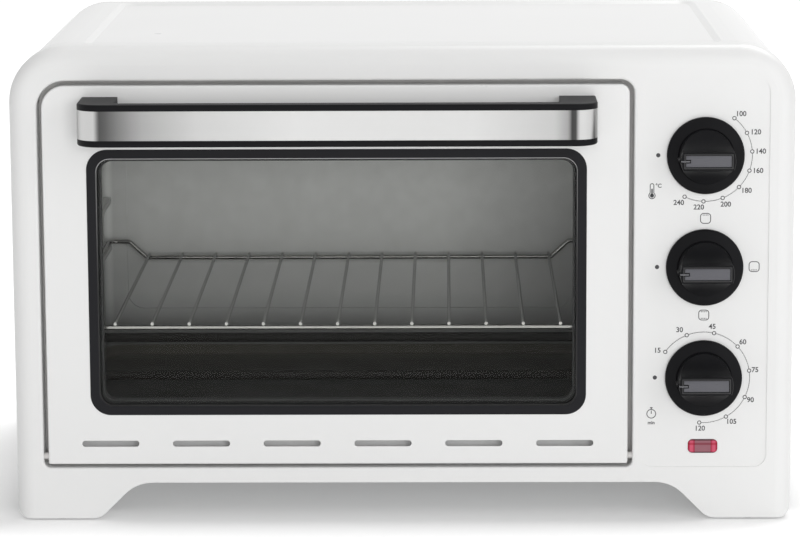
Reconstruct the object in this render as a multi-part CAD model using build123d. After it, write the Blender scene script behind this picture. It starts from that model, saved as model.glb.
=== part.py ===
from build123d import *
import math
import os

# Mini oven: front-loading countertop oven with a drop-down door and three knobs.
# Millimetres. X runs right, Y runs back, Z runs up, seen from the front.
# The origin is the bottom centre of the whole oven, where it stands on the worktop.

os.makedirs("parts", exist_ok=True)

# Overall size
body_width = 476.0
body_height = 291.6
body_depth = 300.0
handle_reach = 40.0
spacer_reach = 12.0

# Front frame
frame_depth = 25.0
frame_wall = 2.5
frame_top_radius = 34.0
frame_edge_round = 11.0
frame_foot_radius = 8.0
leg_foot_width = 51.6
leg_arch_height = 23.5
leg_slope = 45.0
leg_foot_blend = 12.0
leg_arch_blend = 24.0
opening_lip_wall = 2.0
opening_edge_round = 1.5
recess_left_gap = 7.45
recess_right_gap = 16.1
recess_depth = 0.8
recess_radius = 8.0

# Sheet metal wrap, back and base
shell_inset = 1.0
sheet = 1.0
shell_bottom = 22.0
shell_rear_flange = 12.0
top_field_margin = 43.0
top_field_front = 8.0
top_field_rear = 10.0
top_field_depth = 1.5
top_field_slope_width = 4.0
top_field_radius = 6.0
vent_length = 30.0
vent_width = 3.5
vent_pitch = 9.0
vent_columns = 3
vent_rows = 6
vent_drop = 110.0
vent_shift = 8.2
vent_column_pitch = 48.0
base_vent_columns = 4
base_vent_rows = 3
base_vent_pitch = 16.0
base_vent_row_pitch = 42.0
base_vent_front = 105.0

# Feet and spacers
pad_stand = 1.0
pad_radius = 9.0
pad_plug_radius = 4.0
front_pad_inset = 27.0
rear_foot_inset = 42.0
rear_foot_setback = 34.0
rear_foot_width = 34.0
rear_foot_taper = 5.0
rear_foot_corner = 6.0
rear_foot_post = 5.5
rear_foot_rib = 2.0
spacer_radius = 9.0
spacer_tip_radius = 6.75
spacer_tip_round = 2.0
spacer_drop = 74.6
spacer_inset = 88.0

# Door
door_left_margin = 20.3
control_width = 100.7
door_top_margin = 22.9
door_bottom = 35.0
door_depth = 14.0
door_skin = 1.2
door_gap = 2.8
door_bottom_gap = 2.2
door_left_radius = 14.2
door_right_radius = 5.7
door_low_radius = 1.5
door_edge_round = 1.4
slot_count = 6
slot_end_margin = 38.5
slot_length = 35.0
slot_width = 3.8
slot_rise = 13.0
door_open_angle = 87.0

# Window
window_side_margin = 26.15
window_top_margin = 38.85
window_bottom_margin = 30.95
window_shift = 0.5
window_radius = 12.5
trim_band = 5.5
trim_depth = 3.0
trim_proud = 0.3
glass_depth = 4.0
glass_edge_gap = 1.0
clamp_lip = 1.0
clamp_band = 7.0

# Handle
handle_side_margin = 22.5
handle_shift = 2.0
handle_top_margin = 6.8
handle_height = 25.4
handle_thickness = 9.0
handle_block_width = 22.0
handle_corner = 14.0
handle_inner_corner = 4.0
handle_edge_round = 1.2
strip_height = 17.6
strip_rise = 4.0
strip_thickness = 0.8
handle_screw_radius = 2.0

# Hinge, arms and springs
hinge_setback = 4.5
hinge_rise = 4.6
pin_radius = 2.75
pin_clearance = 0.05
pin_in_door = 3.0
pin_in_frame = 8.0
hinge_boss_radius = 6.0
hinge_boss_shift = 2.0
hinge_pin_end_gap = 0.5
hinge_pin_chamfer = 0.6
arm_radius = 60.0
arm_width = 7.0
arm_thickness = 2.0
arm_start = 3.0
arm_spare_angle = 1.6
arm_slot_clearance = 0.7
arm_hole_radius = 1.5
arm_hole_inset = 3.5
arm_foot_below = 12.0
arm_foot_above = 6.0
arm_foot_gap = 0.5
spring_radius = 3.4
spring_wire = 0.6
spring_turns = 8
spring_coil_length = 48.0
spring_leg = 24.0
spring_side_gap = 0.3
hook_gap = 0.1
lug_rise = 5.0
lug_border = 5.0

# Cavity
mouth_gap = 1.5
mouth_border = 18.0
mouth_outer_radius = 12.0
mouth_radius = 8.0
cavity_side_gap = 8.5
cavity_floor_rise = 12.3
cavity_top_drop = 10.1
cavity_rear_gap = 14.5
floor_upstand = 6.7
floor_corner = 16.0
floor_bend = 2.5
guide_reach = 6.0
guide_shelf = 4.0
guide_drop = 9.0
guide_levels = 3
guide_pitch = 32.0
guide_front = 17.0
rack_rest_gap = 0.2
guide_rear = 8.0
bead_side_margin = 50.0
bead_end_margin = 54.0
bead_radius = 20.0
bead_rise = 2.0
bead_taper = 30.0
back_field_margin = 15.0
back_field_radius = 12.0
back_field_lift = 8.0
back_field_depth = 2.0

# Heating rods
rod_radius = 3.25
rod_overhang = 18.0
rod_front = 81.0
rod_rear_gap = 79.5
rod_low_rise = 26.9
rod_high_drop = 15.8
rod_pin_radius = 1.5
rod_pin_length = 4.0
insulator_radius = 8.0
insulator_neck = 5.2
insulator_length = 8.0

# Rack
rack_side_gap = 3.0
rack_front = 20.0
rack_rear_gap = 10.5
rack_rise = 69.5
rack_lift = 11.0
rim_wire = 1.5
grid_wire = 1.05
grid_count = 13
grid_side_margin = 29.2
wire_bite = 0.3
rim_bend = 6.0
rim_step_bend = 3.6
rack_corner_run = 12.0
rack_corner_depth = 8.0
rack_rear_run = 14.0
rack_rear_slope = 12.0

# Controls
knob_side_margin = 54.9
knob_top_margin = 66.2
knob_low_height = 88.6
knob_count = 3
knob_flange_radius = 23.4
knob_boss_radius = 16.25
knob_gap = 0.8
knob_flange_edge = 2.6
knob_flange_rise = 5.2
knob_reach = 27.0
knob_bar_half = 5.4
knob_scoop_radius = 21.0
knob_face_recess = 0.7
knob_face_length = 26.0
knob_face_border = 1.7
knob_edge_round = 1.0
pointer_size = 2.4
pointer_height = 12.0
pointer_drop = 9.0
notch_length = 6.0
notch_width = 1.3
notch_depth = 0.8
knob_bore_depth = 15.0
shaft_radius = 3.0
shaft_flat = 2.4
shaft_clearance = 0.05
bushing_radius = 4.6
bushing_hole_clearance = 0.4
bushing_setback = 0.4
shaft_tail = 6.0
shaft_end_gap = 0.2
bracket_setback = 13.0
bracket_sheet = 1.2
bracket_width = 66.0
bracket_end = 32.7
bracket_corner = 5.0
post_radius = 3.5
lamp_height = 45.8
lamp_width = 18.2
lamp_depth = 8.7
lamp_clearance = 0.1
lamp_proud = 0.6
lamp_edge_round = 0.5
lamp_flange = 2.0
lamp_flange_depth = 1.5
holder_width = 16.0
holder_height = 10.0
holder_depth = 12.0
holder_tab_offset = 4.0
holder_tab_height = 5.0
tab_thickness = 1.0
tab_length = 8.0
tab_width = 6.0
thermostat_radius = 15.0
thermostat_drum_depth = 10.0
thermostat_block_width = 22.0
thermostat_block_height = 34.0
thermostat_block_depth = 14.0
thermostat_tab_spread = 11.0
selector_radius = 17.0
selector_drum_depth = 14.0
selector_block = 28.0
selector_block_depth = 14.0
selector_tabs = 4
selector_tab_pitch = 7.0
timer_width = 48.0
timer_height = 52.0
timer_corner = 8.0
timer_drum_depth = 26.0
timer_post = 10.0
bell_radius = 20.0
bell_depth = 8.0
bell_wall = 1.0

# Hidden electrics
shield_gap = 14.2
shield_hole_radius = 7.5
inlet_radius = 3.6
gland_neck_radius = 7.9
gland_height = 60.0
gland_inset = 42.0
gland_flange_radius = 11.0
gland_flange_depth = 4.0
gland_flange_round = 1.5
gland_collar_radius = 10.0
gland_collar_depth = 3.0
gland_clearance = 0.1
terminal_width = 40.0
terminal_depth = 18.0
terminal_height = 12.0
terminal_ridge_depth = 8.0
terminal_ridge_height = 6.0
terminal_count = 3
terminal_pitch = 12.0
terminal_hole_radius = 2.5
terminal_hole_depth = 4.0
terminal_setback = 70.0
shield_rear_gap = 0.3
screw_radius = 1.6
screw_head_radius = 3.4
screw_head_depth = 1.8
screw_length = 8.0
screw_head_round = 0.8

# Derived places
overall_depth = handle_reach + body_depth + spacer_reach
front_y = handle_reach - overall_depth / 2
back_y = front_y + body_depth
half_width = body_width / 2
frame_rear_y = front_y + frame_depth
door_width = body_width - door_left_margin - control_width
door_height = body_height - door_top_margin - door_bottom
door_offset = door_left_margin + door_width / 2 - half_width
recess_width = control_width - recess_left_gap - recess_right_gap
recess_offset = half_width - recess_right_gap - recess_width / 2
slot_pitch = (door_width - 2 * slot_end_margin) / (slot_count - 1)
slot_height = door_bottom + slot_rise
window_width = door_width - 2 * window_side_margin
window_height = door_height - window_top_margin - window_bottom_margin
window_middle = door_bottom + window_bottom_margin + window_height / 2
handle_width = door_width - 2 * handle_side_margin
handle_offset = door_offset + handle_shift
handle_low = door_bottom + door_height - handle_top_margin - handle_height
mouth_y = front_y + door_depth + mouth_gap
cavity_front_y = mouth_y + sheet
cavity_back_y = back_y - cavity_rear_gap
cavity_depth = cavity_back_y - cavity_front_y
cavity_width = door_width - 2 * cavity_side_gap
cavity_height = door_height - cavity_floor_rise - cavity_top_drop
cavity_floor_height = door_bottom + cavity_floor_rise
cavity_half = cavity_width / 2
cavity_left = door_offset - cavity_half
cavity_right = door_offset + cavity_half
cavity_top_height = cavity_floor_height + cavity_height
rod_low_height = cavity_floor_height + rod_low_rise
rod_high_height = cavity_top_height - rod_high_drop
rack_width = cavity_width - 2 * rack_side_gap
rack_height = cavity_floor_height + rack_rise
rack_front_y = front_y + rack_front
rack_back_y = cavity_back_y - rack_rear_gap
grid_pitch = (rack_width - 2 * grid_side_margin) / (grid_count - 1)
knob_offset = half_width - knob_side_margin
knob_pitch = (body_height - knob_top_margin - knob_low_height) / (knob_count - 1)
bracket_height = (knob_count - 1) * knob_pitch + 2 * bracket_end
shield_offset = cavity_right + shield_gap
gland_offset = half_width - gland_inset
hinge_y = front_y + hinge_setback
hinge_z = door_bottom + hinge_rise
door_top = door_bottom + door_height
arch_inner = leg_arch_height + frame_wall
base_height = arch_inner
base_top = base_height + sheet
arm_plane = door_width / 2 - door_skin - arm_thickness / 2
mouth_angle = math.degrees(math.asin((mouth_y + sheet - hinge_y) / (arm_radius - arm_width / 2)))
arm_end = door_open_angle + mouth_angle + arm_spare_angle


def block(x0, x1, y0, y1, z0, z1):
    """A box given by its corners."""
    middle = Pos((x0 + x1) / 2, (y0 + y1) / 2, (z0 + z1) / 2)
    return middle * Box(abs(x1 - x0), abs(y1 - y0), abs(z1 - z0))


def front_plane(y):
    """The plane of a front view, with x to the right and z up, at depth y."""
    return Plane((0, y, 0), x_dir=(1, 0, 0), z_dir=(0, -1, 0))


def plate(outline, y0, y1):
    """A front-view outline made solid from y0 back to y1."""
    return extrude(front_plane(y0) * outline, amount=y1 - y0, dir=(0, 1, 0))


def rounded(width, height, radius, x, z):
    """A rounded rectangle in the front view, centred at x, z."""
    return Pos(x, z) * RectangleRounded(width, height, radius)


def peg_x(radius, x0, x1, y, z):
    """A round peg along X."""
    return Pos((x0 + x1) / 2, y, z) * Rot(0, 90, 0) * Cylinder(radius, abs(x1 - x0))


def peg_y(radius, y0, y1, x, z):
    """A round peg along Y."""
    return Pos(x, (y0 + y1) / 2, z) * Rot(90, 0, 0) * Cylinder(radius, abs(y1 - y0))


def peg_z(radius, z0, z1, x, y):
    """A round peg along Z."""
    return Pos(x, y, (z0 + z1) / 2) * Cylinder(radius, abs(z1 - z0))


def filleted_outline(corners, radii):
    """A closed outline through the corners, each rounded by its own radius."""
    return make_face(FilletPolyline(*corners, radius=radii, close=True))


def save(node, shape):
    """Write one piece to its own file."""
    export_step(shape, f"parts/{node}.step")


def knob_heights():
    """Heights of the three knob axes, from the top one down."""
    return [body_height - knob_top_margin - i * knob_pitch for i in range(knob_count)]


# Front frame

def frame_outline(inset):
    """Front view of the frame with its two legs, drawn inset from the outer edge."""
    side = half_width - inset
    foot = pad_stand + inset
    arch = leg_arch_height + inset
    lean = inset * math.tan(math.radians(leg_slope / 2))
    rise = (leg_arch_height - pad_stand) / math.tan(math.radians(leg_slope))
    foot_x = half_width - leg_foot_width + lean
    arch_x = foot_x - rise
    corners = [
        (-side, foot),
        (-foot_x, foot),
        (-arch_x, arch),
        (arch_x, arch),
        (foot_x, foot),
        (side, foot),
        (side, body_height - inset),
        (-side, body_height - inset),
    ]
    low = leg_foot_blend - inset
    high = leg_arch_blend + inset
    top = frame_top_radius - inset
    return filleted_outline(corners, [0, low, high, high, low, 0, top, top])


def frame_blank(inset):
    """The frame as a full block whose front edge is rolled over on both sides and the top."""
    start = front_y + inset
    stop = frame_rear_y + inset
    solid = plate(frame_outline(inset), start, stop)
    front_edges = solid.edges().filter_by(lambda e: abs(e.center().Y - start) < 0.01)
    rolled = front_edges.filter_by(lambda e: e.center().Z > leg_arch_height * 2)
    solid = fillet(rolled, frame_edge_round - inset)
    corner = frame_foot_radius - inset
    for side in (-1, 1):
        x = side * (half_width - inset)
        inner_x = x - side * corner
        square = block(inner_x, x + side, start - 1, stop + 1, pad_stand - 1, pad_stand + inset + corner)
        round_part = peg_y(corner, start - 2, stop + 2, inner_x, pad_stand + inset + corner)
        solid = solid - (square - round_part)
    return solid


def opening_outline(grow):
    """Door opening in the frame, seen from the front, grown by a wall."""
    side = door_width / 2 + door_gap + grow
    low = door_bottom - door_bottom_gap - grow
    high = door_top + door_gap + grow
    corners = [
        (door_offset - side, low),
        (door_offset + side, low),
        (door_offset + side, high),
        (door_offset - side, high),
    ]
    radii = [
        door_low_radius + door_gap + grow,
        door_low_radius + door_gap + grow,
        door_right_radius + door_gap + grow,
        door_left_radius + door_gap + grow,
    ]
    return filleted_outline(corners, radii)


def recess_outline():
    """The shallow field that the knobs stand in, as tall as the door opening."""
    low = door_bottom - door_bottom_gap
    high = door_top + door_gap
    return rounded(recess_width, high - low, recess_radius, recess_offset, (low + high) / 2)


def bracket_posts():
    """Places of the four posts that carry the control bracket."""
    middle = (knob_heights()[0] + knob_heights()[2]) / 2
    spread = bracket_height / 2 - 2 * post_radius
    across = bracket_width / 2 - 1.5 * post_radius
    return [(knob_offset + i * across, middle + j * spread) for i in (-1, 1) for j in (-1, 1)]


def make_front_frame():
    """Open-backed moulding with legs, door opening, hinge bosses and bracket posts."""
    shell = frame_blank(0) - frame_blank(frame_wall)
    lip = plate(opening_outline(opening_lip_wall), front_y, mouth_y)
    shell = shell + lip
    for side in (-1, 1):
        face = door_offset + side * (door_width / 2 + door_gap)
        boss = peg_x(hinge_boss_radius, face, face + side * pin_in_frame, hinge_y + hinge_boss_shift, hinge_z)
        shell = shell + (boss & block(-half_width, half_width, front_y, frame_rear_y, 0, body_height))
    for x, z in bracket_posts():
        shell = shell + peg_y(post_radius, front_y + frame_wall / 2, front_y + bracket_setback, x, z)
    opening = plate(opening_outline(0), front_y - 1, mouth_y + 1)
    shell = shell - opening
    rim = shell.edges().filter_by(lambda e: abs(e.center().Y - front_y) < 0.01)
    edge_x = door_width / 2 + door_gap + 0.5
    rim = rim.filter_by(lambda e: abs(e.center().X - door_offset) < edge_x)
    low = door_bottom - door_bottom_gap - 0.5
    rim = rim.filter_by(lambda e: low < e.center().Z < door_top + door_gap + 0.5)
    shell = fillet(rim, opening_edge_round)
    shell = shell - plate(recess_outline(), front_y - 1, front_y + recess_depth)
    for side in (-1, 1):
        face = door_offset + side * (door_width / 2 + door_gap)
        start = face - side
        stop = face + side * (pin_in_frame + 1)
        shell = shell - peg_x(pin_radius + pin_clearance, start, stop, hinge_y, hinge_z)
    for z in knob_heights():
        hole = bushing_radius + bushing_hole_clearance
        shell = shell - peg_y(hole, front_y - 1, front_y + frame_wall + 1, knob_offset, z)
    window = rounded(lamp_width, lamp_depth, lamp_depth / 3, knob_offset, lamp_height)
    shell = shell - plate(window, front_y - 1, front_y + frame_wall + 1)
    for side in (-1, 1):
        x = side * (half_width - front_pad_inset)
        y = front_y + frame_depth / 2
        shell = shell - peg_z(pad_plug_radius, 0, pad_stand + frame_wall + 1, x, y)
    return shell


# Sheet metal wrap, back and base

def shell_outline(inset):
    """Front view of the wrap: upright sides and a flat top with round corners."""
    side = half_width - inset
    high = body_height - inset
    corners = [(-side, shell_bottom), (side, shell_bottom), (side, high), (-side, high)]
    radius = frame_top_radius - inset
    return filleted_outline(corners, [0, 0, radius, radius])


def top_field(surface_height):
    """The shallow pressed field in the top, cut down from the given height."""
    width = body_width - 2 * top_field_margin
    start = frame_rear_y + top_field_front
    stop = back_y - top_field_rear
    middle_y = (start + stop) / 2
    depth = stop - start
    slope = 2 * top_field_slope_width
    radius = top_field_radius + top_field_slope_width
    upper = Pos(0, middle_y, surface_height) * RectangleRounded(width, depth, radius)
    lower_z = surface_height - top_field_depth
    lower = Pos(0, middle_y, lower_z) * RectangleRounded(width - slope, depth - slope, top_field_radius)
    return loft([lower, upper])


def make_outer_shell():
    """One bent sheet over both sides and the top, with an inward rear flange."""
    rear = back_y - sheet
    outer = plate(shell_outline(shell_inset), frame_rear_y, rear)
    outer = outer - top_field(body_height - shell_inset)
    inner = plate(shell_outline(shell_inset + sheet), frame_rear_y - 1, rear - sheet)
    inner = inner - top_field(body_height - shell_inset - sheet)
    inner = inner + plate(shell_outline(shell_inset + sheet), frame_rear_y - 1, frame_rear_y + 1)
    inner = inner + plate(shell_outline(shell_inset + shell_rear_flange), rear - sheet - 1, rear + 1)
    inside = half_width - shell_inset - sheet
    inner = inner + block(-inside, inside, frame_rear_y - 1, rear - sheet, shell_bottom - 1, base_top)
    flange_inside = half_width - shell_inset - shell_rear_flange
    inner = inner + block(-flange_inside, flange_inside, rear - sheet - 1, rear + 1, shell_bottom - 1, base_top)
    for x, z in back_screw_places():
        inner = inner + peg_y(screw_radius, rear - sheet - 1, rear + 1, x, z)
    return outer - inner


def back_screw_places():
    """Screw places near the edge of the back."""
    x = half_width - shell_inset - shell_rear_flange / 2
    z_low = shell_bottom + 3 * shell_rear_flange
    z_high = body_height - 1.5 * frame_top_radius
    top_z = body_height - shell_inset - shell_rear_flange / 2
    sides = [(-x, z_low), (x, z_low), (-x, z_high), (x, z_high)]
    return sides + [(-half_width / 2, top_z), (half_width / 2, top_z)]


def vent_field(x, columns):
    """Rows of round-ended vents in the back view, in columns centred at x."""
    vents = Sketch()
    for column in range(columns):
        for row in range(vent_rows):
            vent_x = x + (column - (columns - 1) / 2) * vent_column_pitch
            vent_z = body_height - vent_drop + (row - (vent_rows - 1) / 2) * vent_pitch
            vents = vents + Pos(vent_x, vent_z) * SlotOverall(vent_length, vent_width)
    return vents


def make_back_panel():
    """Flat back with two vent fields, the cord hole and its screw holes."""
    panel = plate(shell_outline(shell_inset), back_y - sheet, back_y)
    cooling = vent_field(door_offset + vent_shift, vent_columns)
    controls = vent_field(knob_offset, 1)
    panel = panel - plate(cooling, back_y - sheet - 1, back_y + 1)
    panel = panel - plate(controls, back_y - sheet - 1, back_y + 1)
    hole = gland_neck_radius + gland_clearance
    panel = panel - peg_y(hole, back_y - sheet - 1, back_y + 1, gland_offset, gland_height)
    for x, z in back_screw_places():
        panel = panel - peg_y(screw_radius, back_y - sheet - 1, back_y + 1, x, z)
    return panel


def base_screw_places():
    """Screw places over the rear feet, seen from above."""
    x = half_width - rear_foot_inset
    return [(-x, back_y - rear_foot_setback), (x, back_y - rear_foot_setback)]


def make_base_plate():
    """Flat base on the frame's arch and between the wrap's sides, with vents and spring lugs."""
    side = half_width - shell_inset - sheet
    base = block(-side, side, frame_rear_y, back_y - 2 * sheet, base_height, base_top)
    tongue = leg_tongue_half()
    base = base + block(-tongue, tongue, mouth_y, frame_rear_y, base_height, base_top)
    for column in range(base_vent_columns):
        for row in range(base_vent_rows):
            x = knob_offset + (column - (base_vent_columns - 1) / 2) * base_vent_pitch
            y = front_y + base_vent_front + row * base_vent_row_pitch
            slot = Pos(x, y, base_height) * Rot(0, 0, 90) * SlotOverall(vent_length, vent_width)
            base = base - extrude(slot, amount=sheet, dir=(0, 0, 1))
    for x, y in base_screw_places():
        base = base - peg_z(screw_radius, base_height - 1, base_top + 1, x, y)
    for side in (-1, 1):
        x = door_offset + side * arm_plane
        y, z = spring_rear_hook()
        lug = block(x - sheet, x + sheet, y - lug_border, y + lug_border, base_top, z + lug_border)
        base = base + (lug - peg_x(arm_hole_radius, x - 2, x + 2, y, z))
    return base


def leg_tongue_half():
    """Half the width of the base's front tongue, which lies on the frame's arch."""
    rise = (leg_arch_height - pad_stand) / math.tan(math.radians(leg_slope))
    return half_width - leg_foot_width - rise - leg_arch_blend


# Feet and spacers

def make_foot_pad(x, y):
    """Rubber pad with a plug that presses into the foot."""
    pad = peg_z(pad_radius, 0, pad_stand, x, y)
    return pad + peg_z(pad_plug_radius, pad_stand, pad_stand + frame_wall, x, y)


def make_rear_foot(x):
    """Hollow moulded foot, wider at the top, under the base."""
    y = back_y - rear_foot_setback
    height = base_height - pad_stand
    low = rear_foot_width - rear_foot_taper
    corner = rear_foot_corner
    bottom = Pos(x, y, pad_stand) * RectangleRounded(low, low, corner)
    top = Pos(x, y, base_height) * RectangleRounded(rear_foot_width, rear_foot_width, corner)
    foot = loft([bottom, top])
    wall = frame_wall
    inner_low = low - 2 * wall
    inner_top = rear_foot_width - 2 * wall
    cup_bottom = Pos(x, y, pad_stand + wall) * RectangleRounded(inner_low, inner_low, corner - wall)
    cup_top = Pos(x, y, base_height) * RectangleRounded(inner_top, inner_top, corner - wall)
    foot = foot - loft([cup_bottom, cup_top])
    foot = foot - peg_z(pad_plug_radius, 0, pad_stand + wall + 1, x, y)
    half_height = pad_stand + height / 2
    post = peg_z(rear_foot_post, half_height, base_height, x, y)
    rib = rear_foot_rib / 2
    bridge = block(x - inner_top / 2, x + inner_top / 2, y - rib, y + rib, half_height, base_height)
    foot = foot + post + bridge
    return foot - peg_z(screw_radius, base_height - screw_length, base_height + 1, x, y)


def make_spacer(x):
    """Tapered stop that keeps the oven off the wall."""
    base = Plane((x, back_y, body_height - spacer_drop), x_dir=(1, 0, 0), z_dir=(0, 1, 0))
    cone = loft([base * Circle(spacer_radius), base.offset(spacer_reach) * Circle(spacer_tip_radius)])
    rim = cone.edges().filter_by(lambda e: abs(e.center().Y - back_y - spacer_reach) < 0.01)
    return fillet(rim, spacer_tip_round)


# Cavity

def make_mouth_frame():
    """Sheet ring that the cavity hangs on, with slots for the door arms."""
    left = cavity_left - mouth_border
    right = shield_offset + 2 * sheet
    high = cavity_top_height + mouth_border
    middle_x = (left + right) / 2
    ring = rounded(right - left, high - base_top, mouth_outer_radius, middle_x, (high + base_top) / 2)
    middle_z = cavity_floor_height + cavity_height / 2
    hole = rounded(cavity_width, cavity_height, mouth_radius, door_offset, middle_z)
    panel = plate(ring, mouth_y, cavity_front_y) - plate(hole, mouth_y - 1, cavity_front_y + 1)
    low, high = arm_slot_heights(mouth_y, cavity_front_y)
    for side in (-1, 1):
        x = door_offset + side * arm_plane
        half = arm_thickness / 2 + arm_slot_clearance
        panel = panel - block(x - half, x + half, mouth_y - 1, cavity_front_y + 1, low, high)
    return panel


def arm_slot_heights(y0, y1):
    """Lowest and highest point of a slot that the round arm runs through between two depths."""
    inner = arm_radius - arm_width / 2
    outer = arm_radius + arm_width / 2
    low = math.sqrt(inner ** 2 - (y1 - hinge_y) ** 2)
    high = math.sqrt(outer ** 2 - (y0 - hinge_y) ** 2)
    return hinge_z + low - arm_slot_clearance, hinge_z + high + arm_slot_clearance


def guide_heights():
    """Heights of the shelf guides' flat tops; the rack lies on the lowest."""
    lowest = rack_height + rack_lift - rim_wire - rack_rest_gap
    return [lowest + i * guide_pitch for i in range(guide_levels)]


def guide_outline(side, top, inset):
    """Front view of one pressed guide that stands in from a side wall."""
    wall_x = door_offset + side * (cavity_half + sheet)
    inner_x = wall_x - side * (guide_reach + sheet - inset)
    corners = [
        (wall_x + side * inset, top - inset),
        (inner_x, top - inset),
        (inner_x, top - guide_shelf + inset / 2),
        (wall_x + side * inset, top - guide_drop + inset * 1.3),
    ]
    return make_face(Polyline(*corners, close=True))


def make_cavity_wall(side):
    """Side of the cavity with pressed shelf guides and holes for the heating rods."""
    inner_x = door_offset + side * cavity_half
    outer_x = inner_x + side * sheet
    low = cavity_floor_height - sheet
    high = cavity_top_height + sheet
    wall = block(inner_x, outer_x, cavity_front_y, cavity_back_y, low, high)
    start = cavity_front_y + guide_front
    stop = cavity_back_y - guide_rear
    for top in guide_heights():
        wall = wall + plate(guide_outline(side, top, 0), start, stop)
        wall = wall - plate(guide_outline(side, top, sheet), start + sheet, stop - sheet)
    for y, z in rod_places():
        wall = wall - peg_x(insulator_neck, inner_x - 2, inner_x + 2, y, z)
    return wall


def make_cavity_roof():
    """Top of the cavity, stiffened by a shallow pressed bead."""
    low = cavity_top_height
    roof = block(cavity_left, cavity_right, cavity_front_y, cavity_back_y, low, low + sheet)
    middle_y = (cavity_front_y + cavity_back_y) / 2
    width = cavity_width - 2 * bead_side_margin
    depth = cavity_depth - 2 * bead_end_margin
    bead = Pos(door_offset, middle_y, low + sheet) * RectangleRounded(width, depth, bead_radius)
    roof = roof + extrude(bead, amount=bead_rise, taper=bead_taper)
    inner_width = width - 2 * sheet
    inner_depth = depth - 2 * sheet
    under = Pos(door_offset, middle_y, low) * RectangleRounded(inner_width, inner_depth, bead_radius - sheet)
    return roof - extrude(under, amount=bead_rise, taper=bead_taper)


def floor_outline(inset):
    """Top view of the floor pan, round at its two rear corners."""
    front = cavity_front_y - inset
    rear = cavity_back_y - inset
    corners = [
        (cavity_left + inset, front),
        (cavity_right - inset, front),
        (cavity_right - inset, rear),
        (cavity_left + inset, rear),
    ]
    radius = floor_corner - inset
    return filleted_outline(corners, [0, 0, radius, radius])


def make_cavity_floor():
    """Floor pan turned up at the back and sides with a soft bend."""
    low = cavity_floor_height - sheet
    height = sheet + floor_upstand
    pan = extrude(Pos(0, 0, low) * floor_outline(0), amount=height)
    hollow = extrude(Pos(0, 0, cavity_floor_height) * floor_outline(sheet), amount=height)
    bend = hollow.edges().filter_by(lambda e: abs(e.center().Z - cavity_floor_height) < 0.01)
    bend = bend.filter_by(lambda e: e.center().Y > cavity_front_y)
    hollow = fillet(bend, floor_bend)
    return pan - hollow


def make_cavity_back():
    """Rear wall of the cavity with a shallow pressed field."""
    low = cavity_floor_height - sheet
    outer = cavity_half + sheet
    middle_z = (low + cavity_top_height + sheet) / 2
    wall = block(
        door_offset - outer, door_offset + outer,
        cavity_back_y, cavity_back_y + sheet,
        low, cavity_top_height + sheet,
    )
    width = cavity_width - 2 * back_field_margin
    height = cavity_height - 2 * (back_field_margin + back_field_lift)
    z = middle_z + back_field_lift
    field = rounded(width, height, back_field_radius, door_offset, z)
    inner_field = rounded(width - 2 * sheet, height - 2 * sheet, back_field_radius - sheet, door_offset, z)
    wall = wall + plate(field, cavity_back_y + sheet, cavity_back_y + sheet + back_field_depth)
    return wall - plate(inner_field, cavity_back_y - 1, cavity_back_y + back_field_depth)


# Heating rods

def rod_places():
    """Depth and height of each rod: lower front, lower rear, upper front, upper rear."""
    places = []
    for z in (rod_low_height, rod_high_height):
        for y in (front_y + rod_front, cavity_back_y - rod_rear_gap):
            places.append((y, z))
    return places


def make_rod(y, z):
    """Straight steel-clad heating rod with a stepped terminal pin at each end."""
    left = cavity_left - rod_overhang
    right = cavity_right + rod_overhang
    rod = peg_x(rod_radius, left, right, y, z)
    rod = rod + peg_x(rod_pin_radius, left - rod_pin_length, left, y, z)
    return rod + peg_x(rod_pin_radius, right, right + rod_pin_length, y, z)


def make_insulators(side):
    """The four ceramic collars of one side wall, as separate solids."""
    collars = []
    for y, z in rod_places():
        wall_inner = door_offset + side * cavity_half
        wall_outer = wall_inner + side * sheet
        neck = peg_x(insulator_neck, wall_inner, wall_outer, y, z)
        collar = peg_x(insulator_radius, wall_outer, wall_outer + side * insulator_length, y, z)
        bore = peg_x(rod_radius, wall_inner - side * 2, wall_outer + side * (insulator_length + 2), y, z)
        collars.append(neck + collar - bore)
    return Compound(children=collars)


# Door

def door_outline(inset):
    """Front view of the door, inset from its edge."""
    side = door_width / 2 - inset
    corners = [
        (door_offset - side, door_bottom + inset),
        (door_offset + side, door_bottom + inset),
        (door_offset + side, door_top - inset),
        (door_offset - side, door_top - inset),
    ]
    low = max(door_low_radius - inset, 0.2)
    radii = [low, low, door_right_radius - inset, door_left_radius - inset]
    return filleted_outline(corners, radii)


def window_outline(inset):
    """Front view of the window opening, inset from its outer edge."""
    width = window_width - 2 * inset
    height = window_height - 2 * inset
    return rounded(width, height, window_radius - inset * 0.7, door_offset + window_shift, window_middle)


def make_door_panel():
    """Pressed tray: skin with returned edges, window opening and vent slots."""
    tray = plate(door_outline(0), front_y, front_y + door_depth)
    front = tray.edges().filter_by(lambda e: abs(e.center().Y - front_y) < 0.01)
    tray = fillet(front, door_edge_round)
    tray = tray - plate(door_outline(door_skin), front_y + door_skin, front_y + door_depth + 1)
    tray = tray - plate(window_outline(0), front_y - 1, front_y + door_skin + 1)
    for i in range(slot_count):
        x = door_offset + (i - (slot_count - 1) / 2) * slot_pitch
        slot = Pos(x, slot_height) * SlotOverall(slot_length, slot_width)
        tray = tray - plate(slot, front_y - 1, front_y + door_skin + 1)
    for side in (-1, 1):
        edge = door_offset + side * door_width / 2
        tray = tray - peg_x(pin_radius, edge - side * (door_skin + 1), edge + side, hinge_y, hinge_z)
    for x in handle_screw_places():
        z = handle_low + handle_height / 2
        tray = tray - peg_y(handle_screw_radius, front_y - 1, front_y + door_skin + 1, x, z)
    return tray


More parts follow.
